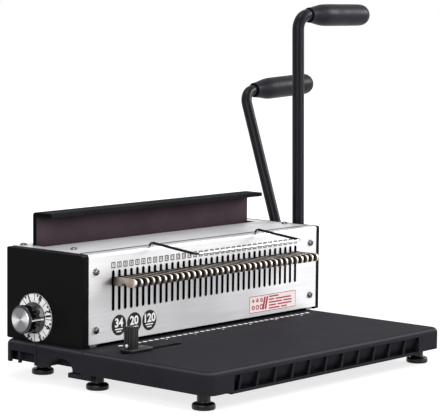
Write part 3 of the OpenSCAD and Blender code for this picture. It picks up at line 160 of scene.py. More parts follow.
def brushed_sheet(name, shade, highlight, rough, edge_top):
    """Steel sheet brushed along X: fine streaks, gloss spread across them, and edges painted dark as shade up
    to a height.
    """
    material, tree, shader, place = start_material(name, {"Metallic": 1.0, "Anisotropic": 0.5})
    # Real scratches are about 0.05 mm wide; they are drawn 0.5 mm wide so that they show
    scratch_len, scratch_w = 60 * MM, 0.5 * MM
    streaks = add(tree, "Mapping", {"Vector": place},
                  {"Scale": (1 / scratch_len, 1 / scratch_w, 1 / scratch_w)}).outputs["Vector"]
    lines = add(tree, "TexNoise", {"Vector": streaks},
                {"Scale": 1.0, "Detail": 3.0, "Roughness": 0.65}).outputs["Fac"]
    cloud = add(tree, "TexNoise", {"Vector": place}, {"Scale": 1 / (90 * MM), "Detail": 2.0}).outputs["Fac"]
    tone = add(tree, "Math", {0: lines, 1: cloud}, operation="MULTIPLY").outputs["Value"]
    face = add(tree, "ValToRGB", {"Fac": tone}, stops=[(0.12, shade), (0.40, highlight)]).outputs["Color"]
    outward = add(tree, "NewGeometry").outputs["Normal"]
    brushing = (1.0, 0.0, 0.0)
    across = add(tree, "VectorMath", {0: outward}, {1: brushing}, operation="CROSS_PRODUCT").outputs["Vector"]
    # Painted shade: the slots' walls and the rims round them are painted dark, as the slots' shade
    facing = add(tree, "SeparateXYZ", {"Vector": outward}).outputs["Y"]
    frontal = add(tree, "Math", {0: facing}, operation="ABSOLUTE").outputs["Value"]
    cut = add(tree, "Math", {0: frontal}, {1: 0.5}, operation="LESS_THAN").outputs["Value"]
    height = add(tree, "SeparateXYZ", {"Vector": place}).outputs["Z"]
    below = add(tree, "Math", {0: height}, {1: edge_top}, operation="LESS_THAN").outputs["Value"]
    wall = add(tree, "Math", {0: cut, 1: below}, operation="MULTIPLY").outputs["Value"]
    normal, flat = soft_edges(tree, 0.4 * MM)
    rim = add(tree, "MapRange", {"Value": flat}, {"From Min": 0.97, "From Max": 0.8}).outputs["Result"]
    edge = add(tree, "Math", {0: wall, 1: rim}, operation="MAXIMUM").outputs["Value"]
    colour = add(tree, "Mix", {"Factor": edge, "A": face}, {"B": linear("#141415")},
                 data_type="RGBA").outputs["Result"]
    dull = add(tree, "MapRange", {"Value": lines}, around(rough, 0.06)).outputs["Result"]
    bump = add(tree, "Bump", {"Height": lines, "Normal": normal},
               {"Strength": 0.12, "Distance": 0.05 * MM}).outputs["Normal"]
    feed(tree, shader, Base_Color=colour, Roughness=dull, Normal=bump, Tangent=across)
    return material


def bare_metal(name, shade, highlight, rough, mark):
    """Machined, drawn or plated metal: close tool marks and a cloudy oil film."""
    material, tree, shader, place = start_material(name, {"Metallic": 1.0})
    cloud = add(tree, "TexNoise", {"Vector": place}, {"Scale": 1 / (12 * MM), "Detail": 4.0}).outputs["Fac"]
    # Tool marks are about 0.1 mm wide; they are drawn coarser, at the given width, so that they show
    marks = add(tree, "TexNoise", {"Vector": place}, {"Scale": 1 / mark, "Detail": 2.0}).outputs["Fac"]
    colour = add(tree, "ValToRGB", {"Fac": cloud}, stops=[(0.3, shade), (0.7, highlight)]).outputs["Color"]
    dull = add(tree, "MapRange", {"Value": cloud}, around(rough, 0.1)).outputs["Result"]
    normal, _ = soft_edges(tree, 0.3 * MM)
    bump = add(tree, "Bump", {"Height": marks, "Normal": normal},
               {"Strength": 0.15, "Distance": 0.05 * MM}).outputs["Normal"]
    feed(tree, shader, Base_Color=colour, Roughness=dull, Normal=bump)
    return material


def stamped_steel(name, shade, highlight, gap_shade, nose):
    """Stamped, oiled steel: warm dull sides, painted shade between tabs, and a painted highlight on the
    noses.
    """
    material, tree, shader, place = start_material(name, {"Metallic": 1.0})
    cloud = add(tree, "TexNoise", {"Vector": place}, {"Scale": 1 / (9 * MM), "Detail": 4.0}).outputs["Fac"]
    # Stamping marks are about 0.1 mm wide; they are drawn 0.7 mm wide so that they show
    marks = add(tree, "TexNoise", {"Vector": place}, {"Scale": 1 / (0.7 * MM), "Detail": 2.0}).outputs["Fac"]
    normal, _ = soft_edges(tree, 0.3 * MM)
    # Painted shade: faces closed in by a neighbouring tab turn nearly black
    open_air = add(tree, "AmbientOcclusion", values={"Distance": 15 * MM}, samples=8).outputs["AO"]
    unoccluded = add(tree, "MapRange", {"Value": open_air}, {"From Min": 0.62, "From Max": 0.96}).outputs["Result"]
    plain = add(tree, "ValToRGB", {"Fac": cloud}, stops=[(0.3, shade), (0.7, highlight)]).outputs["Color"]
    # Painted highlight: the front few millimetres of each nose are lightened
    depth = add(tree, "SeparateXYZ", {"Vector": place}).outputs["Y"]
    front = add(tree, "MapRange", {"Value": depth},
                {"From Min": nose + 4 * MM, "From Max": nose + 1 * MM}).outputs["Result"]
    with_nose_highlight = add(tree, "Mix", {"Factor": front, "A": plain}, {"B": linear("#ddd3c8")},
                   data_type="RGBA").outputs["Result"]
    colour = add(tree, "Mix", {"Factor": unoccluded, "B": with_nose_highlight}, {"A": linear(gap_shade)},
                 data_type="RGBA").outputs["Result"]
    dull = add(tree, "MapRange", {"Value": unoccluded}, {"To Min": 0.6, "To Max": 0.36}).outputs["Result"]
    bump = add(tree, "Bump", {"Height": marks, "Normal": normal},
               {"Strength": 0.15, "Distance": 0.05 * MM}).outputs["Normal"]
    feed(tree, shader, Base_Color=colour, Roughness=dull, Normal=bump)
    return material


def satin_paint(name, shade, highlight, rough):
    """Powder-coated steel: an even satin skin with a slight orange peel."""
    material, tree, shader, place = start_material(name, {"Specular IOR Level": 0.12})
    cloud = add(tree, "TexNoise", {"Vector": place}, {"Scale": 1 / (20 * MM), "Detail": 3.0}).outputs["Fac"]
    peel = add(tree, "TexNoise", {"Vector": place}, {"Scale": 1 / (1.2 * MM), "Detail": 1.0}).outputs["Fac"]
    colour = add(tree, "ValToRGB", {"Fac": cloud}, stops=[(0.3, shade), (0.7, highlight)]).outputs["Color"]
    dull = add(tree, "MapRange", {"Value": cloud}, around(rough, 0.05)).outputs["Result"]
    normal, _ = soft_edges(tree, 0.5 * MM)
    bump = add(tree, "Bump", {"Height": peel, "Normal": normal},
               {"Strength": 0.12, "Distance": 0.06 * MM}).outputs["Normal"]
    feed(tree, shader, Base_Color=colour, Roughness=dull, Normal=bump)
    return material


def smooth_moulding(name, shade, highlight, rough, gloss):
    """Plastic or rubber from a polished mould: a smooth skin with faint flow marks and finger haze."""
    material, tree, shader, place = start_material(name, {"Specular IOR Level": gloss})
    haze = add(tree, "TexNoise", {"Vector": place}, {"Scale": 1 / (14 * MM), "Detail": 3.0}).outputs["Fac"]
    colour = add(tree, "ValToRGB", {"Fac": haze}, stops=[(0.3, shade), (0.75, highlight)]).outputs["Color"]
    dull = add(tree, "MapRange", {"Value": haze}, around(rough + 0.01, 0.07)).outputs["Result"]
    feed(tree, shader, Base_Color=colour, Roughness=dull)
    return material


def printed_ink(name, shade, highlight, rough=0.55):
    """Screen-printed ink or enamel: a thin, nearly even film with small pinholes of tone."""
    material, tree, shader, place = start_material(name, {"Roughness": rough, "Specular IOR Level": 0.25})
    # Pinholes are about 0.2 mm wide; they are drawn 0.8 mm wide so that they show
    film = add(tree, "TexNoise", {"Vector": place}, {"Scale": 1 / (0.8 * MM), "Detail": 2.0}).outputs["Fac"]
    colour = add(tree, "ValToRGB", {"Fac": film}, stops=[(0.3, shade), (0.7, highlight)]).outputs["Color"]
    feed(tree, shader, Base_Color=colour)
    return material


def spun_aluminium(name, centre):
    """Aluminium cap turned on a lathe: fine rings, and bright and dark fans painted by angle as the
    reflection that turned faces show.
    """
    material, tree, shader, place = start_material(name, {"Metallic": 1.0, "Roughness": 0.28})
    at = add(tree, "Mapping", {"Vector": place}, {"Location": [-c for c in centre]}).outputs["Vector"]
    parts = add(tree, "SeparateXYZ", {"Vector": at})
    up, back = parts.outputs["Z"], parts.outputs["Y"]
    angle = add(tree, "Math", {0: up, 1: back}, operation="ARCTAN2").outputs["Value"]
    # Two painted bright fans of reflection to a turn, the front one a little above level
    fans, slant = 2.0, 2.0
    turn = add(tree, "Math", {0: angle}, {1: fans, 2: slant}, operation="MULTIPLY_ADD").outputs["Value"]
    wave = add(tree, "Math", {0: turn}, operation="SINE").outputs["Value"]
    level = add(tree, "MapRange", {"Value": wave}, {"From Min": -1.0, "From Max": 1.0}).outputs["Result"]
    tones = [(0.4, "#77777a"), (0.78, "#a2a2a5"), (0.96, "#d2d2d4")]
    colour = add(tree, "ValToRGB", {"Fac": level}, stops=tones).outputs["Color"]
    # Real turning rings are about 0.2 mm apart; they are drawn 5 mm apart so that they show
    ring_gap, waves_per_unit = 5 * MM, 20 / (2 * math.pi)
    rings = add(tree, "TexWave", {"Vector": at}, {"Scale": 1 / ring_gap / waves_per_unit, "Distortion": 0.0},
                wave_type="RINGS", rings_direction="X").outputs["Fac"]
    normal, _ = soft_edges(tree, 0.3 * MM)
    bump = add(tree, "Bump", {"Height": rings, "Normal": normal},
               {"Strength": 0.2, "Distance": 0.04 * MM}).outputs["Normal"]
    feed(tree, shader, Base_Color=colour, Normal=bump)
    return material


def press_coat(name, flange_back):
    """Powder coat on the press: plum on the upright face with painted shade at its foot and under the flange,
    charcoal on the flange and upward faces, and black ends.
    """
    material, tree, shader, place = start_material(name, {"Roughness": 0.75, "Specular IOR Level": 0.03})
    cloud = add(tree, "TexNoise", {"Vector": place}, {"Scale": 1 / (45 * MM), "Detail": 4.0}).outputs["Fac"]
    peel = add(tree, "TexNoise", {"Vector": place}, {"Scale": 1 / (1.2 * MM), "Detail": 1.0}).outputs["Fac"]
    plum = [(0.3, "#3f333a"), (0.7, "#4d4148")]
    charcoal = [(0.3, "#17171a"), (0.7, "#202023")]
    face = add(tree, "ValToRGB", {"Fac": cloud}, stops=plum).outputs["Color"]
    flange_tone = add(tree, "ValToRGB", {"Fac": cloud}, stops=charcoal).outputs["Color"]
    # Painted shade: the face darkens where ambient occlusion finds it closed in, at its foot and under the
    # flange
    open_air = add(tree, "AmbientOcclusion", values={"Distance": 16 * MM}, samples=8).outputs["AO"]
    unoccluded = add(tree, "MapRange", {"Value": open_air}, {"From Min": 0.5, "From Max": 0.92}).outputs["Result"]
    with_painted_shade = add(tree, "Mix", {"Factor": unoccluded, "B": face}, {"A": linear("#120d10")},
                data_type="RGBA").outputs["Result"]
    outward = add(tree, "SeparateXYZ", {"Vector": add(tree, "NewGeometry").outputs["Normal"]})
    depth = add(tree, "SeparateXYZ", {"Vector": place}).outputs["Y"]
    on_top = add(tree, "Math", {0: outward.outputs["Z"]}, {1: 0.4}, operation="GREATER_THAN").outputs["Value"]
    forward = add(tree, "Math", {0: depth}, {1: flange_back}, operation="LESS_THAN").outputs["Value"]
    flange = add(tree, "Math", {0: on_top, 1: forward}, operation="MAXIMUM").outputs["Value"]
    coat = add(tree, "Mix", {"Factor": flange, "A": with_painted_shade, "B": flange_tone}, data_type="RGBA").outputs["Result"]
    sideways = add(tree, "Math", {0: outward.outputs["X"]}, operation="ABSOLUTE").outputs["Value"]
    ends = add(tree, "Math", {0: sideways}, {1: 0.6}, operation="GREATER_THAN").outputs["Value"]
    colour = add(tree, "Mix", {"Factor": ends, "A": coat}, {"B": linear("#0b0a0b")},
                 data_type="RGBA").outputs["Result"]
    normal, _ = soft_edges(tree, 0.6 * MM)
    bump = add(tree, "Bump", {"Height": peel, "Normal": normal},
               {"Strength": 0.12, "Distance": 0.06 * MM}).outputs["Normal"]
    feed(tree, shader, Base_Color=colour, Normal=bump)
    return material


# Black ABS: a charcoal tray with a cool cast, nearly black end covers, and a shinier guide
TRAY_ABS = moulded_abs("tray_abs", "#222126", "#2b2a2f", rough=0.7, gloss=0.04, grain=0.8 * MM)
COVER_ABS = moulded_abs("cover_abs", "#0b0b0c", "#111112", rough=0.6, gloss=0.04, grain=0.6 * MM)
GUIDE_ABS = moulded_abs("guide_abs", "#121213", "#1b1b1d", rough=0.4, gloss=0.2, grain=0.6 * MM)
# Rubber feet: deep black with a soft shine on their rims
FOOT_RUBBER = smooth_moulding("foot_rubber", "#060607", "#0c0c0d", rough=0.32, gloss=0.25)
# Brushed steel: a silver panel with painted shade in its slots up to its fold, and duller covers without any
PANEL_STEEL = brushed_sheet("panel_brushed_steel", "#c2c2c4", "#d8d8d9", rough=0.44, edge_top=PANEL_FOLD)
COVER_STEEL = brushed_sheet("cover_brushed_steel", "#cbcbce", "#dddddf", rough=0.5, edge_top=0.0)
# Plating: pale zinc, smoky nickel on the screws that show, and chrome that mirrors the room
ZINC = bare_metal("zinc_plate", "#a5a5a8", "#c9c9cc", rough=0.3, mark=0.6 * MM)
NICKEL = bare_metal("nickel_plate", "#4c4c4f", "#77777b", rough=0.22, mark=0.6 * MM)
CHROME = bare_metal("chromed_steel", "#b4b4b7", "#cececf", rough=0.16, mark=0.8 * MM)
# Steel inside: grey milled frames, oil-black working parts, black parts behind the slots as painted shade,
# brighter ground shafts and drawn wire
FRAME_STEEL = bare_metal("milled_steel", "#7c7f82", "#93969a", rough=0.42, mark=0.8 * MM)
BLACK_STEEL = bare_metal("blackened_steel", "#101011", "#1b1b1d", rough=0.5, mark=0.8 * MM)
GROUND_STEEL = bare_metal("ground_steel", "#8d9094", "#a9acb0", rough=0.3, mark=0.5 * MM)
SPRING_WIRE = bare_metal("drawn_spring_wire", "#97999c", "#b3b5b8", rough=0.3, mark=0.5 * MM)
# Sintered bronze bushes: warm brown with an oily shine
BRONZE = bare_metal("sintered_bronze", "#94713a", "#b9954f", rough=0.45, mark=0.4 * MM)
# Stamped tabs: warm grey, with painted shade nearly black between them
TAB_STEEL = stamped_steel("stamped_tab_steel", "#8b7f75", "#aa9e93", gap_shade="#0e0907", nose=TABS_LOW.y)
# Powder coats: satin black tubes, and a matt plum press plate
LEVER_PAINT = satin_paint("lever_satin_paint", "#0b0b10", "#13131a", rough=0.36)
PRESS_PAINT = press_coat("press_powder_coat", flange_back=PRESS_FLANGE)
# Black plastics: satin grips with a cool cast, dull PVC sleeves, and a knob that shines
GRIP_PLASTIC = smooth_moulding("grip_plastic", "#0a0911", "#11101a", rough=0.44, gloss=0.12)
SLEEVE_PVC = smooth_moulding("sleeve_pvc", "#0d0d0e", "#161618", rough=0.4, gloss=0.1)
KNOB_PLASTIC = smooth_moulding("knob_plastic", "#08080a", "#101011", rough=0.14, gloss=0.6)
# The dial: white enamel, and a silver cap
DIAL_WHITE = printed_ink("dial_white_enamel", "#f5f5f3", "#fcfcfa", rough=0.4)
CAP_ALUMINIUM = spun_aluminium("spun_aluminium", KNOB_MIDDLE)
# Screen inks: flat, matt marks
BLACK_INK = printed_ink("black_ink", "#0e0e0f", "#161617")
GREY_INK = printed_ink("grey_ink", "#2c2d30", "#3b3c3f")
WHITE_INK = printed_ink("white_ink", "#f0f0ee", "#fafaf8")
RED_INK = printed_ink("red_ink", "#a81d29", "#bb2c38")
PINK_INK = printed_ink("pink_ink", "#f0e7e7", "#f6eeed")

NODE_MATERIALS = {
    TRAY_ABS: ["base_tray", "chip_drawer", "drawer_front"],
    COVER_ABS: ["left_end_cover", "right_end_cover"],
    GUIDE_ABS: ["edge_guide", "guide_clamp", "press_guides", "bail_sockets"],
    FOOT_RUBBER: ["rubber_feet"],
    PANEL_STEEL: ["front_panel"],
    COVER_STEEL: ["top_cover", "rear_cover"],
    ZINC: ["foot_screws", "rear_screws", "frame_bolts", "cross_bolts", "die_screws", "press_bolts",
           "punch_lever_screw", "closing_lever_screw"],
    NICKEL: ["panel_screws", "top_screws"],
    FRAME_STEEL: ["left_side_frame", "right_side_frame", "stop_arm", "stop_cam"],
    # The die plate, paper stop and punch pins behind the slots are black as painted shade in the slots
    BLACK_STEEL: ["punch_ram", "ram_racks", "punch_pinions", "closing_pinions", "press_rack_plates",
                  "punch_guide", "die_plate", "paper_stop", "punch_pins"],
    GROUND_STEEL: ["punch_shaft", "closing_shaft", "dial_spindle", "spring_pins", "press_spring_pins"],
    SPRING_WIRE: ["ram_springs", "press_springs"],
    BRONZE: ["punch_bushes", "closing_bushes", "spindle_bush"],
    TAB_STEEL: ["selector_tabs"],
    LEVER_PAINT: ["punch_lever", "closing_lever", "wire_bail"],
    PRESS_PAINT: ["press_plate"],
    GRIP_PLASTIC: ["punch_grip", "closing_grip"],
    KNOB_PLASTIC: ["dial_knob"],
    DIAL_WHITE: ["dial_plate"],
    CAP_ALUMINIUM: ["knob_cap"],
}
for material, names in NODE_MATERIALS.items():
    for name in names:
        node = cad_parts[name]
        for slot in node.material_slots:
            slot.material = material


def set_camera():
    """Camera fitted to the photograph's straight edges, a long lens low on the left, and a plain view."""
    azimuth, elevation, roll = (math.radians(angle) for angle in (-48.97, 5.99, 0.57))
    target = Vector((-54.87, 3.51, 160.01)) * MM
    distance = 2067.26 * MM
    back = Vector((math.sin(azimuth) * math.cos(elevation), -math.cos(azimuth) * math.cos(elevation),
                   math.sin(elevation)))
    right = (-back).cross(Vector((0, 0, 1))).normalized()
    up = right.cross(-back)
    turned_right = math.cos(roll) * right + math.sin(roll) * up
    turned_up = math.cos(roll) * up - math.sin(roll) * right
    camera = bpy.data.objects.new("camera", bpy.data.cameras.new("camera"))
    bpy.context.scene.collection.objects.link(camera)
    camera.data.lens = 166.67
    camera.data.sensor_width = 36.0
    camera.data.sensor_fit = "HORIZONTAL"
    axes = Matrix((turned_right, turned_up, back)).transposed().to_4x4()
    camera.matrix_world = Matrix.Translation(target + back * distance) @ axes
    bpy.context.scene.camera = camera
    bpy.context.scene.view_settings.view_transform = "Standard"


def seen_white(tree):
    """One where the surface is seen, in a reflection or through glass too, and nought for other light."""
    path = add(tree, "LightPath")
    seen = path.outputs["Is Camera Ray"]
    for ray in ("Is Glossy Ray", "Is Transmission Ray"):
        seen = add(tree, "Math", {0: seen, 1: path.outputs[ray]}, operation="MAXIMUM").outputs["Value"]
    return seen


def set_world():
    """Surround that is seen as white and lights the machine with less than that."""
    world = bpy.data.worlds.new("studio")
    bpy.context.scene.world = world
    world.use_nodes = True
    tree = world.node_tree
    tree.nodes.clear()
    level = add(tree, "MapRange", {"Value": seen_white(tree)}, {"To Min": 0.4, "To Max": 1.0})
    sky = add(tree, "Background", {"Strength": level.outputs["Result"]}, {"Color": linear("#ffffff")})
    add(tree, "OutputWorld", {"Surface": sky.outputs["Background"]})


def set_floor():
    """White paper under the machine, which keeps its shadow."""
    bpy.ops.object.select_all(action="DESELECT")
    bpy.ops.mesh.primitive_plane_add(size=12.0, location=(0, 0, -0.2 * MM))
    floor = bpy.context.object
    floor.name = "floor"
    even_values = {"Base Color": linear("#a0a0a0"), "Roughness": 0.9, "Specular IOR Level": 0.0,
                   "Emission Color": linear("#ffffff")}
    paper, tree, shader, place = start_material("white_paper", even_values)
    # The paper is seen whiter away from the machine, so that only the shadow near it shows
    away = add(tree, "VectorMath", {0: place}, operation="LENGTH").outputs["Value"]
    white = add(tree, "MapRange", {"Value": away},
                {"From Min": 0.4, "From Max": 1.2, "To Min": 0.76, "To Max": 1.0}).outputs["Result"]
    glow = add(tree, "Math", {0: white, 1: seen_white(tree)}, operation="MULTIPLY").outputs["Value"]
    feed(tree, shader, Emission_Strength=glow)
    floor.data.materials.append(paper)


def set_lamps():
    """Four soft lamps: place, width, height and power; the tall right one draws a band along the grips."""
    lamps = {"key": ((0.7, -2.3, 0.3), 0.8, 0.8, 18.0), "right": ((1.85, -1.0, 1.12), 0.6, 0.9, 34.0),
             "left": ((-2.0, -0.9, 1.0), 1.6, 1.6, 34.0), "top": ((-0.2, 0.1, 2.3), 1.0, 1.0, 16.0)}
    lit_point = Vector((-0.05, 0.0, 0.1))
    for name, (place, width, height, power) in lamps.items():
        lamp = bpy.data.lights.new(name, "AREA")
        lamp.shape = "RECTANGLE"
        lamp.size = width
        lamp.size_y = height
        lamp.energy = power
        holder = bpy.data.objects.new(name, lamp)
        bpy.context.scene.collection.objects.link(holder)
        aim = lit_point - Vector(place)
        holder.matrix_world = Matrix.Translation(place) @ aim.to_track_quat("-Z", "Y").to_matrix().to_4x4()


def one(piece):
    """Select that piece alone and make it active."""
    bpy.ops.object.select_all(action="DESELECT")
    piece.select_set(True)
    bpy.context.view_layer.objects.active = piece


def settle(piece, place=Matrix.Identity(4)):
    """Put a piece at its place and move that place into its mesh."""
    one(piece)
    piece.matrix_world = place @ piece.matrix_world
    bpy.context.view_layer.update()
    bpy.ops.object.transform_apply(location=True, rotation=True, scale=True)


def choose(piece, kind, test):
    """Enter edit mode with only the chosen faces, points or edges selected.

    The test gets the middle, and a face's or point's normal or an edge's direction.
    """
    one(piece)
    bpy.ops.object.mode_set(mode="EDIT")
    bpy.ops.mesh.select_mode(type=kind)
    bpy.ops.mesh.select_all(action="DESELECT")
    bpy.ops.object.mode_set(mode="OBJECT")
    mesh = piece.data
    if kind == "FACE":
        for face in mesh.polygons:
            face.select = test(face.center, face.normal)
    elif kind == "VERT":
        for point in mesh.vertices:
            point.select = test(point.co, point.normal)
    else:
        for edge in mesh.edges:
            ends = [mesh.vertices[v].co for v in edge.vertices]
            edge.select = test((ends[0] + ends[1]) / 2, (ends[1] - ends[0]).normalized())
    bpy.ops.object.mode_set(mode="EDIT")


def leave():
    """Leave edit mode."""
    bpy.ops.object.mode_set(mode="OBJECT")


def face_outwards():
    """Turn all faces of the piece that is edited outwards, and leave edit mode."""
    bpy.ops.mesh.select_all(action="SELECT")
    bpy.ops.mesh.normals_make_consistent(inside=False)
    leave()


def apply_modifier(piece, kind, **settings):
    """Add a modifier with these settings and apply it."""
    one(piece)
    modifier = piece.modifiers.new(kind.lower(), kind)
    for name, value in settings.items():
        setattr(modifier, name, value)
    bpy.ops.object.modifier_apply(modifier=modifier.name)


def shade_round(piece, angle=35):
    """Shade a piece smooth, except across edges sharper than that angle in degrees."""
    one(piece)
    bpy.ops.object.shade_smooth_by_angle(angle=math.radians(angle))


def break_edges(piece, width):
    """Round the sharp edges of a piece and shade the rest smooth."""
    apply_modifier(piece, "BEVEL", width=width, segments=3, limit_method="ANGLE",
                   angle_limit=math.radians(40))
    shade_round(piece)


def block(low, high):
    """Box between two corners."""
    size = Vector(high) - Vector(low)
    bpy.ops.object.select_all(action="DESELECT")
    bpy.ops.mesh.primitive_cube_add(size=1.0, location=(Vector(low) + Vector(high)) / 2, scale=size)
    piece = bpy.context.object
    settle(piece)
    return piece


def turned(stations, sides=48, smooth=1):
    """Body turned about Z through stations of height and radius, closed at both ends."""
    height, radius = stations[0]
    bpy.ops.object.select_all(action="DESELECT")
    bpy.ops.mesh.primitive_circle_add(vertices=sides, radius=radius, location=(0, 0, height),
                                      fill_type="NGON")
    piece = bpy.context.object
    settle(piece)
    bpy.ops.object.mode_set(mode="EDIT")
    bpy.ops.mesh.select_all(action="SELECT")
    for next_height, next_radius in stations[1:]:
        bpy.ops.mesh.extrude_region_move(TRANSFORM_OT_translate={"value": (0, 0, next_height - height)})
        ratio = next_radius / radius
        bpy.ops.transform.resize(value=(ratio, ratio, 1), center_override=(0, 0, next_height))
        height, radius = next_height, next_radius
    face_outwards()
    if smooth:
        apply_modifier(piece, "SUBSURF", levels=smooth, render_levels=smooth)
    shade_round(piece)
    return piece


def copies(piece, places):
    """Copies of a piece at these places, each with its own mesh; the first place takes the piece itself."""
    made = []
    for place in places[1:]:
        twin = piece.copy()
        twin.data = piece.data.copy()
        bpy.context.scene.collection.objects.link(twin)
        settle(twin, place)
        made.append(twin)
    settle(piece, places[0])
    return [piece] + made


def join(pieces):
    """Join pieces into the first one."""
    bpy.ops.object.select_all(action="DESELECT")
    for piece in pieces:
        piece.select_set(True)
    bpy.context.view_layer.objects.active = pieces[0]
    bpy.ops.object.join()
    return pieces[0]


def dress(piece, name, material):
    """Name a piece and give it its material."""
    piece.name = name
    piece.data.materials.clear()
    piece.data.materials.append(material)


def finish(piece, name, material, body):
    """Dress a piece that a body carries."""
    dress(piece, name, material)
    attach(piece, body)


def on_panel(x, z):
    """Place on the front panel: right is +X, up is +Z and out is -Y."""
    axes = Matrix(((1, 0, 0), (0, 0, 1), (0, -1, 0))).transposed().to_4x4()
    return Matrix.Translation((x, PANEL_LOW.y, z)) @ axes


def on_tray(x, y):
    """Place on the tray: up is +Y and out is +Z."""
    return Matrix.Translation((x, y, TRAY_TOP))


def on_knob_axis(x):
    """Place on the knob's axis: right is -Y, up is +Z and out is -X."""
    axes = Matrix(((0, -1, 0), (0, 0, 1), (-1, 0, 0))).transposed().to_4x4()
    return Matrix.Translation((x, KNOB_MIDDLE.y, KNOB_MIDDLE.z)) @ axes


def on_dial(radius, angle):
    """Place on the dial plate, turned so that up points away from the middle."""
    turn = Matrix.Rotation(angle, 4, "Z")
    return on_knob_axis(DIAL_FACE) @ turn @ Matrix.Translation((0, radius, 0))


def written(text, height, place, bold=0.0):
    """Printed figures with that height, middle at the place, made bolder by that width."""
    bpy.ops.object.select_all(action="DESELECT")
    bpy.ops.object.text_add()
    figures = bpy.context.object
    figures.data.body = text
    # A figure stands about 1 / 1.4 of the font's size
    figures.data.size = height * 1.4
    figures.data.align_x = "CENTER"
    figures.data.align_y = "CENTER"
    figures.data.extrude = PRINT_T
    figures.data.offset = bold
    figures.data.resolution_u = 3
    bpy.ops.object.convert(target="MESH")
    settle(figures, place)
    return figures


def bar(length, height, thick=PRINT_T, corner=0.48):
    """Flat bar in XY, its underside at zero; the corner is a share of the smaller side, and 0.48 is round."""
    bpy.ops.object.select_all(action="DESELECT")
    bpy.ops.mesh.primitive_cube_add(size=1.0, location=(0, 0, thick / 2), scale=(length, height, thick))
    piece = bpy.context.object
    settle(piece)
    choose(piece, "EDGE", lambda middle, along: abs(along.z) > 0.9)
    bpy.ops.mesh.bevel(offset=min(length, height) * corner, segments=4)
    leave()
    return piece


def outlined(sheet, line):
    """Cut a flat sheet down to an outline of that line width, as thick as print."""
    one(sheet)
    bpy.ops.object.mode_set(mode="EDIT")
    bpy.ops.mesh.select_all(action="SELECT")
    bpy.ops.mesh.inset(thickness=line)
    bpy.ops.mesh.delete(type="FACE")
    bpy.ops.mesh.select_all(action="SELECT")
    bpy.ops.mesh.extrude_region_move(TRANSFORM_OT_translate={"value": (0, 0, PRINT_T)})
    face_outwards()
    return sheet


def box_outline(width, height, line):
    """Printed rectangle of that line width."""
    bpy.ops.object.select_all(action="DESELECT")
    bpy.ops.mesh.primitive_plane_add(size=1.0)
    sheet = bpy.context.object
    sheet.scale = (width, height, 1.0)
    settle(sheet)
    return outlined(sheet, line)


def ring(radius, line):
    """Printed ring of that line width."""
    bpy.ops.object.select_all(action="DESELECT")
    bpy.ops.mesh.primitive_circle_add(vertices=48, radius=radius, fill_type="NGON")
    return outlined(bpy.context.object, line)


def disc(radius, thick):
    """Thin disc with a broken upper edge."""
    bpy.ops.object.select_all(action="DESELECT")
    bpy.ops.mesh.primitive_cylinder_add(vertices=96, radius=radius, depth=thick, location=(0, 0, thick / 2))
    piece = bpy.context.object
    settle(piece)
    choose(piece, "EDGE", lambda middle, along: middle.z > thick * 0.9)
    bpy.ops.mesh.bevel(offset=thick * 0.4, segments=2)
    leave()
    return piece


def print_slot_numbers():
    """A boxed number over each slot."""
    level = PANEL_LOW.z + 74.5 * MM
    width, height, line = 5.7 * MM, 5.9 * MM, 1.0 * MM
    places = [on_panel(ROW_START + i * PITCH, level) for i in range(SLOTS)]
    boxes = copies(box_outline(width, height, line), places)
    figures = [written(str(i + 1), 2.8 * MM, place, 0.12 * MM) for i, place in enumerate(places)]
    finish(join(boxes + figures), "slot_numbers", GREY_INK, "base")


def print_size_discs():
    """Three black discs with plain numbers and small bars under them."""
    level = PANEL_LOW.z + 15.1 * MM
    places = [on_panel(PANEL_LOW.x + shift * MM, level) for shift in (41.7, 63.3, 85.0)]
    discs = copies(disc(10.2 * MM, PRINT_T), places)
    finish(join(discs), "size_discs", BLACK_INK, "base")
    marks = []
    for text, place in zip(("34", "20", "120"), places):
        number_place = place @ Matrix.Translation((0, 1.9 * MM, PRINT_T))
        marks.append(written(text, 8.4 * MM, number_place, 0.4 * MM))
        for width, drop in ((11.0, 4.0), (7.0, 6.4)):
            bar_place = place @ Matrix.Translation((0, -drop * MM, PRINT_T))
            marks += copies(bar(width * MM, 1.1 * MM), [bar_place])
    finish(join(marks), "size_numbers", WHITE_INK, "base")


def print_wire_chart():
    """Wire size chart: rings of rising size, a bold band and rows of bars on a pale plate."""
    left, right = PANEL_LOW.x + 238.0 * MM, PANEL_LOW.x + 314.3 * MM
    low, high = PANEL_LOW.z + 4.0 * MM, PANEL_LOW.z + 21.6 * MM
    middle = on_panel((left + right) / 2, (low + high) / 2)
    width, height = right - left, high - low
    plate = bar(width, height, corner=0.05)
    settle(plate, middle)
    finish(plate, "chart_plate", PINK_INK, "base")
    face = middle @ Matrix.Translation((0, 0, PRINT_T))
    marks = copies(box_outline(width, height, 0.6 * MM), [face])
    # Two rows of three rings
    rings_left, rings_top, column_step, row_step = -32 * MM, 3.8 * MM, 6.6 * MM, 7.2 * MM
    for i in range(6):
        spot = Matrix.Translation((rings_left + i % 3 * column_step, rings_top - i // 3 * row_step, 0))
        marks += copies(ring((1.7 + 0.24 * i) * MM, 1.3 * MM), [face @ spot])
    # The bold band is a pair of leaning strokes
    lean = Matrix.Rotation(math.radians(-14), 4, "Z")
    for shift in (-14.6, -10.6):
        marks += copies(bar(2.8 * MM, 14.0 * MM), [face @ Matrix.Translation((shift * MM, 0, 0)) @ lean])
    # Bars of these lengths in mm, row by row
    bars_left, bars_top, line_step, gap = -6.5 * MM, 6.2 * MM, 3.1 * MM, 2.0 * MM
    for row, lengths in enumerate(((16,), (9, 26), (22, 14), (12, 24), (18, 10))):
        start = bars_left
        for length in lengths:
            spot = Matrix.Translation((start + length * MM / 2, bars_top - row * line_step, 0))
            marks += copies(bar(length * MM, 1.5 * MM), [face @ spot])
            start += length * MM + gap
    finish(join(marks), "chart_print", RED_INK, "base")


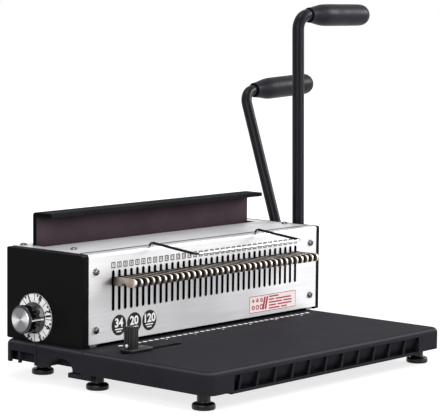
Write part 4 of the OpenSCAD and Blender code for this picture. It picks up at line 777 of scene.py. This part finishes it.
def print_tray_dashes():
    """White dashes along the tray, one to a hole, with a dot under each fifth."""
    line = PANEL_LOW.y - 10.5 * MM
    places = [on_tray(ROW_START + i * PITCH, line) for i in range(SLOTS + 1)]
    dashes = copies(bar(5.6 * MM, 4.0 * MM), places)
    dot_places = [place @ Matrix.Translation((0, -6.0 * MM, 0)) for place in places[2::5]]
    dots = copies(bar(2.0 * MM, 2.6 * MM), dot_places)
    finish(join(dashes + dots), "tray_dashes", WHITE_INK, "base")


def print_dial():
    """Numbers, dots and fine lines round the dial plate, and one black mark at the front."""
    count = 8
    number_at, inner_dot_at, outer_dot_at, line_at, mark_at = (r * MM for r in (20.6, 16.6, 22.0, 20.0, 19.6))
    front = math.radians(-80)
    marks = []
    lines = []
    for i in range(count):
        angle = 2 * math.pi * (i + 0.5) / count
        marks.append(written(str(i + 1), 5.2 * MM, on_dial(number_at, angle), 0.5 * MM))
        dot_places = [on_dial(inner_dot_at, angle), on_dial(outer_dot_at, angle + 0.2)]
        marks += copies(disc(1.1 * MM, PRINT_T), dot_places)
        lines += copies(bar(0.7 * MM, 7.0 * MM), [on_dial(line_at, angle + math.pi / count)])
    marks += copies(bar(2.0 * MM, 8.0 * MM, corner=0.2), [on_dial(mark_at, front)])
    marks += copies(ring(23.7 * MM, 0.5 * MM), [on_dial(0, 0)])
    finish(join(marks), "dial_numbers", BLACK_INK, "base")
    finish(join(lines), "dial_lines", GREY_INK, "base")


def in_flute(at, lobes, half_width):
    """True for points within that many degrees of a flute's middle; a lobe points to the right."""
    step = 360 / lobes
    turn = (math.degrees(math.atan2(at.y, at.x)) + step / 2) % step
    return min(turn, step - turn) < half_width


def lobed_core(lobes, crest, foot, top):
    """Core of a knob: lobes with shallow flutes between them, from the foot to a slightly narrower top."""
    bpy.ops.object.select_all(action="DESELECT")
    bpy.ops.mesh.primitive_circle_add(vertices=16 * lobes, radius=crest, location=(0, 0, foot),
                                      fill_type="NGON")
    core = bpy.context.object
    settle(core)
    # Each step of a flute: half its width in degrees, and how far its points are drawn in
    for half_width, ratio in ((10.5, 0.955), (7.5, 0.95), (3.5, 0.975)):
        choose(core, "VERT", lambda at, normal: in_flute(at, lobes, half_width))
        bpy.ops.transform.resize(value=(ratio, ratio, 1), center_override=(0, 0, foot))
        leave()
    choose(core, "FACE", lambda middle, normal: True)
    chamfer = 0.9 * MM
    height = foot
    for rise, ratio in ((top - foot - chamfer, 0.99), (chamfer, 0.98)):
        height += rise
        bpy.ops.mesh.extrude_region_move(TRANSFORM_OT_translate={"value": (0, 0, rise)})
        bpy.ops.transform.resize(value=(ratio, ratio, 1), center_override=(0, 0, height))
    face_outwards()
    shade_round(core, 40)
    return core


def model_knob():
    """Knob with lobes between a sloped skirt and a collar, and a white pointer line along one lobe."""
    outer = (KNOB_HIGH.z - KNOB_LOW.z) / 2
    rim = outer - 1.5 * MM
    crest = outer - 2.0 * MM
    tall = KNOB_HIGH.x - KNOB_LOW.x
    place = on_knob_axis(KNOB_HIGH.x)
    skirt = turned([(0, outer - 0.4 * MM), (0.4 * MM, outer), (1.4 * MM, outer),
                    (1.8 * MM, outer - 0.4 * MM), (4.4 * MM, outer - 4.0 * MM)], sides=96, smooth=0)
    collar = turned([(tall - 3.6 * MM, rim - 0.8 * MM), (tall - 3.0 * MM, rim), (tall - 0.8 * MM, rim),
                     (tall - 0.2 * MM, rim - 0.3 * MM), (tall, rim - 0.9 * MM)], sides=96, smooth=0)
    core = lobed_core(10, crest, 2.6 * MM, tall - 2.9 * MM)
    knob = join([skirt, collar, core])
    settle(knob, place)
    finish(knob, "dial_knob_moulding", KNOB_PLASTIC, "dial")
    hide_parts("dial_knob")
    # The pointer runs over the collar, along the lobe and down the skirt: length, radius, height and lean
    runs = ((2.1 * MM, rim, tall - 1.9 * MM, 0.0), (tall * 0.6, crest, tall * 0.49, 0.0),
            (2.4 * MM, outer - 1.2 * MM, 2.4 * MM, -54.0))
    along = Matrix(((0, 0, 1), (0, -1, 0), (1, 0, 0))).transposed().to_4x4()
    sink = Matrix.Translation((0, 0, -0.1 * MM))
    lines = []
    for length, radius, height, lean in runs:
        spot = Matrix.Translation((radius, 0, height)) @ Matrix.Rotation(math.radians(lean), 4, "Y")
        lines += copies(bar(length, 1.5 * MM, 0.3 * MM, corner=0.1), [place @ spot @ along @ sink])
    finish(join(lines), "knob_pointer", WHITE_INK, "dial")


def model_tabs():
    """Pull tabs: flat stamped bars with a round nose and a finger notch below, one to each slot."""
    height = TABS_HIGH.z - TABS_LOW.z
    half = TAB_T / 2
    notch_y, notch_radius = TABS_LOW.y + 15.5 * MM, 3.0 * MM
    tab = block((-half, TABS_LOW.y, TABS_LOW.z), (half, TABS_HIGH.y, TABS_HIGH.z))
    choose(tab, "EDGE", lambda middle, along: abs(along.x) > 0.9 and middle.y < TABS_LOW.y + 1 * MM)
    bpy.ops.mesh.bevel(offset=height * 0.49, segments=8)
    leave()
    bpy.ops.object.select_all(action="DESELECT")
    bpy.ops.mesh.primitive_cylinder_add(vertices=32, radius=notch_radius, depth=4 * TAB_T,
                                        rotation=(0, math.pi / 2, 0), location=(0, notch_y, TABS_LOW.z))
    cutter = bpy.context.object
    apply_modifier(tab, "BOOLEAN", object=cutter, operation="DIFFERENCE", solver="EXACT")
    bpy.data.objects.remove(cutter)
    break_edges(tab, 0.35 * MM)
    tabs = join(copies(tab, [Matrix.Translation((ROW_START + i * PITCH, 0, 0)) for i in range(SLOTS)]))
    finish(tabs, "stamped_tabs", TAB_STEEL, "tabs")
    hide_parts("selector_tabs")


def model_grip(node, body, lever, shaft, length, bend, lean):
    """Moulded grip on a lever, given its length from the shaft, and its bend and backward lean in degrees."""
    # Height and radius in mm: rolled lip, slim neck, soft taper, straight part and round end
    stations = [(1.5, 6.6), (0.4, 6.9), (0.0, 7.6), (0.5, 8.4), (2.0, 8.5), (5.0, 8.7),
                (11.0, 9.7), (19.0, 11.4), (25.0, 12.1), (34.0, 12.2), (60.0, 12.2), (88.0, 12.2),
                (94.5, 11.9), (99.0, 9.9), (101.3, 6.6), (102.0, 2.6)]
    grip = turned([(height * MM, radius * MM) for height, radius in stations], sides=32, smooth=2)
    hub_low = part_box(lever)[0]
    axle_low, axle_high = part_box(shaft)
    half_hub, bend_radius, gap = 6.4 * MM, 16 * MM, 2 * MM
    turn = math.radians(bend)
    reach = Vector((bend_radius * (1 - math.cos(turn)), 0,
                    length - bend_radius + bend_radius * math.sin(turn)))
    aim = Vector((math.sin(turn), 0, math.cos(turn)))
    tilt = Matrix.Rotation(math.radians(-lean), 4, "X")
    axle = Vector((hub_low.x + half_hub, (axle_low.y + axle_high.y) / 2, (axle_low.z + axle_high.z) / 2))
    spot = axle + tilt @ (reach + aim * gap)
    settle(grip, Matrix.Translation(spot) @ (tilt @ aim).to_track_quat("Z", "Y").to_matrix().to_4x4())
    finish(grip, node + "_moulding", GRIP_PLASTIC, body)
    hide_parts(node)


def model_edge_guide():
    """Sliding paper guide: foot plate, ribbed post, tongue in the track, and a thumb screw."""
    low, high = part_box("edge_guide")
    middle = Vector(((low.x + high.x) / 2, (low.y + high.y) / 2, TRAY_TOP))
    tall = high.z - TRAY_TOP
    half_w, half_d = (high.x - low.x) / 2, (high.y - low.y) / 2
    foot_t, gap = 3.4 * MM, 0.1 * MM
    foot = block((-half_w, -half_d, gap), (half_w, half_d, foot_t))
    break_edges(foot, 1.0 * MM)
    post = block((-10.6 * MM, -4.6 * MM, foot_t - 0.4 * MM), (-3.4 * MM, 5.2 * MM, tall - 0.6 * MM))
    break_edges(post, 0.8 * MM)
    rib = turned([(2.5 * MM, 1.35 * MM), (tall - 0.8 * MM, 1.3 * MM), (tall - 0.2 * MM, 0.9 * MM),
                  (tall, 0.3 * MM)], sides=16, smooth=0)
    rib_spots = [(x, -4.8) for x in (-9.7, -7.0, -4.3)] + [(-10.7, y) for y in (-1.6, 1.6, 4.6)]
    ribs = copies(rib, [Matrix.Translation((x * MM, y * MM, 0)) for x, y in rib_spots])
    tongue_w, tongue_d, tongue_drop = 14.8 * MM, 8.4 * MM, 3.4 * MM
    tongue = block((-tongue_w / 2, -tongue_d / 2, -tongue_drop), (tongue_w / 2, tongue_d / 2, 1.0 * MM))
    choose(tongue, "EDGE", lambda at, along: abs(along.z) > 0.9)
    bpy.ops.mesh.bevel(offset=tongue_d / 2 - gap, segments=8)
    leave()
    guide = join([foot, post, tongue] + ribs)
    settle(guide, Matrix.Translation(middle))
    finish(guide, "edge_guide_moulding", GUIDE_ABS, "guide")
    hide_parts("edge_guide")
    screw = turned([(3.0 * MM, 1.8 * MM), (7.4 * MM, 1.8 * MM), (8.2 * MM, 1.3 * MM), (8.4 * MM, 0.4 * MM)],
                   sides=32)
    settle(screw, Matrix.Translation(middle + Vector((-13.4 * MM, 0, 0))))
    finish(screw, "guide_thumb_screw", ZINC, "guide")


def model_guide_channel():
    """Open channel clipped under the tray, in which the guide's clamp runs, so that the track looks dark."""
    low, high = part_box("guide_clamp")
    travel_left, travel_right = 12 * MM, 55 * MM
    wall, room = 1.0 * MM, 0.5 * MM
    side = wall + room
    under = low.z - wall - 0.4 * MM
    rim = high.z - 0.05 * MM
    channel = block((low.x - travel_left - side, low.y - side, under),
                    (high.x + travel_right + side, high.y + side, rim))
    choose(channel, "FACE", lambda middle, normal: normal.z > 0.9)
    bpy.ops.mesh.inset(thickness=wall)
    bpy.ops.mesh.extrude_region_move(TRANSFORM_OT_translate={"value": (0, 0, under + wall - rim)})
    leave()
    break_edges(channel, 0.2 * MM)
    finish(channel, "guide_channel", GUIDE_ABS, "base")


def model_seam_strip():
    """Black strip along the seam between the panel's fold and the top cover, standing in for the seam's shade
    line.
    """
    cover_low, cover_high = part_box("top_cover")
    seam = (PANEL_HIGH.y + cover_low.y) / 2
    half, depth, proud = 0.6 * MM, 0.02 * MM, 0.55 * MM
    strip = block((cover_low.x, seam - half, cover_high.z - depth),
                  (cover_high.x, seam + half, cover_high.z + proud))
    break_edges(strip, 0.2 * MM)
    finish(strip, "seam_shade_strip", FOOT_RUBBER, "base")


def sleeve(length, radius):
    """Sleeve along Z with rounded ends."""
    rim = 0.3 * MM
    return turned([(0, radius - rim), (rim, radius), (length - rim, radius), (length, radius - rim)],
                  sides=24, smooth=0)


def model_bail_sleeves():
    """Sleeves on the wire bail: black ones on the arms and a bright rolling one on the cross run."""
    wire, bend, arm_drop = 0.9 * MM, 4 * MM, 5.63 * MM
    back = Vector((0, BAIL_HIGH.y - wire - bend - 0.4 * MM, BAIL_HIGH.z - wire))
    front = Vector((0, BAIL_LOW.y + wire + bend, BAIL_HIGH.z - wire - arm_drop))
    along = (front - back).normalized()
    turn = along.to_track_quat("Z", "Y").to_matrix().to_4x4()
    ends = [BAIL_LOW.x + wire, BAIL_HIGH.x - wire]
    places = [Matrix.Translation(back + Vector((x, 0, 0))) @ turn for x in ends]
    arms = join(copies(sleeve((front - back).length, 1.3 * MM), places))
    finish(arms, "bail_arm_sleeves", SLEEVE_PVC, "bail")
    cross = front + along * bend
    cross_place = Matrix.Translation((ends[0] + bend, cross.y, cross.z))
    roller = sleeve(ends[1] - ends[0] - 2 * bend, 1.2 * MM)
    settle(roller, cross_place @ Matrix.Rotation(math.pi / 2, 4, "Y"))
    finish(roller, "bail_roller", CHROME, "bail")


def coil(length, width, wire, turns):
    """Wire spring standing on Z = 0, with its ends closed."""
    bpy.ops.object.select_all(action="DESELECT")
    start = ((width - wire) / 2, 0, wire / 2)
    bpy.ops.mesh.primitive_circle_add(vertices=12, radius=wire / 2, location=start,
                                      rotation=(math.pi / 2, 0, 0))
    piece = bpy.context.object
    settle(piece)
    apply_modifier(piece, "SCREW", axis="Z", angle=2 * math.pi, screw_offset=(length - wire) / turns,
                   iterations=turns, steps=24, render_steps=24)
    bpy.ops.object.mode_set(mode="EDIT")
    bpy.ops.mesh.select_mode(type="EDGE")
    bpy.ops.mesh.select_all(action="DESELECT")
    bpy.ops.mesh.select_non_manifold()
    bpy.ops.mesh.fill_holes(sides=0)
    face_outwards()
    shade_round(piece)
    return piece


def model_springs(node, width):
    """Pair of return springs, wound in the place of the solid node, which is hidden."""
    low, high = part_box(node)
    depth = (low.y + high.y) / 2
    spots = [Matrix.Translation((x, depth, low.z)) for x in (low.x + width / 2, high.x - width / 2)]
    springs = join(copies(coil(high.z - low.z, width, 1.2 * MM, 7), spots))
    dress(springs, node + "_wound", SPRING_WIRE)
    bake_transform(springs)
    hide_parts(node)


set_camera()
set_world()
set_floor()
set_lamps()
print_slot_numbers()
print_size_discs()
print_wire_chart()
print_tray_dashes()
print_dial()
model_knob()
model_tabs()
model_grip("punch_grip", "punch_drive", "punch_lever", "punch_shaft", length=269 * MM, bend=90, lean=1)
model_grip("closing_grip", "closing_drive", "closing_lever", "closing_shaft",
           length=193 * MM, bend=87, lean=18.6)
model_edge_guide()
model_guide_channel()
model_seam_strip()
model_bail_sleeves()
model_springs("ram_springs", 8 * MM)
model_springs("press_springs", 7 * MM)
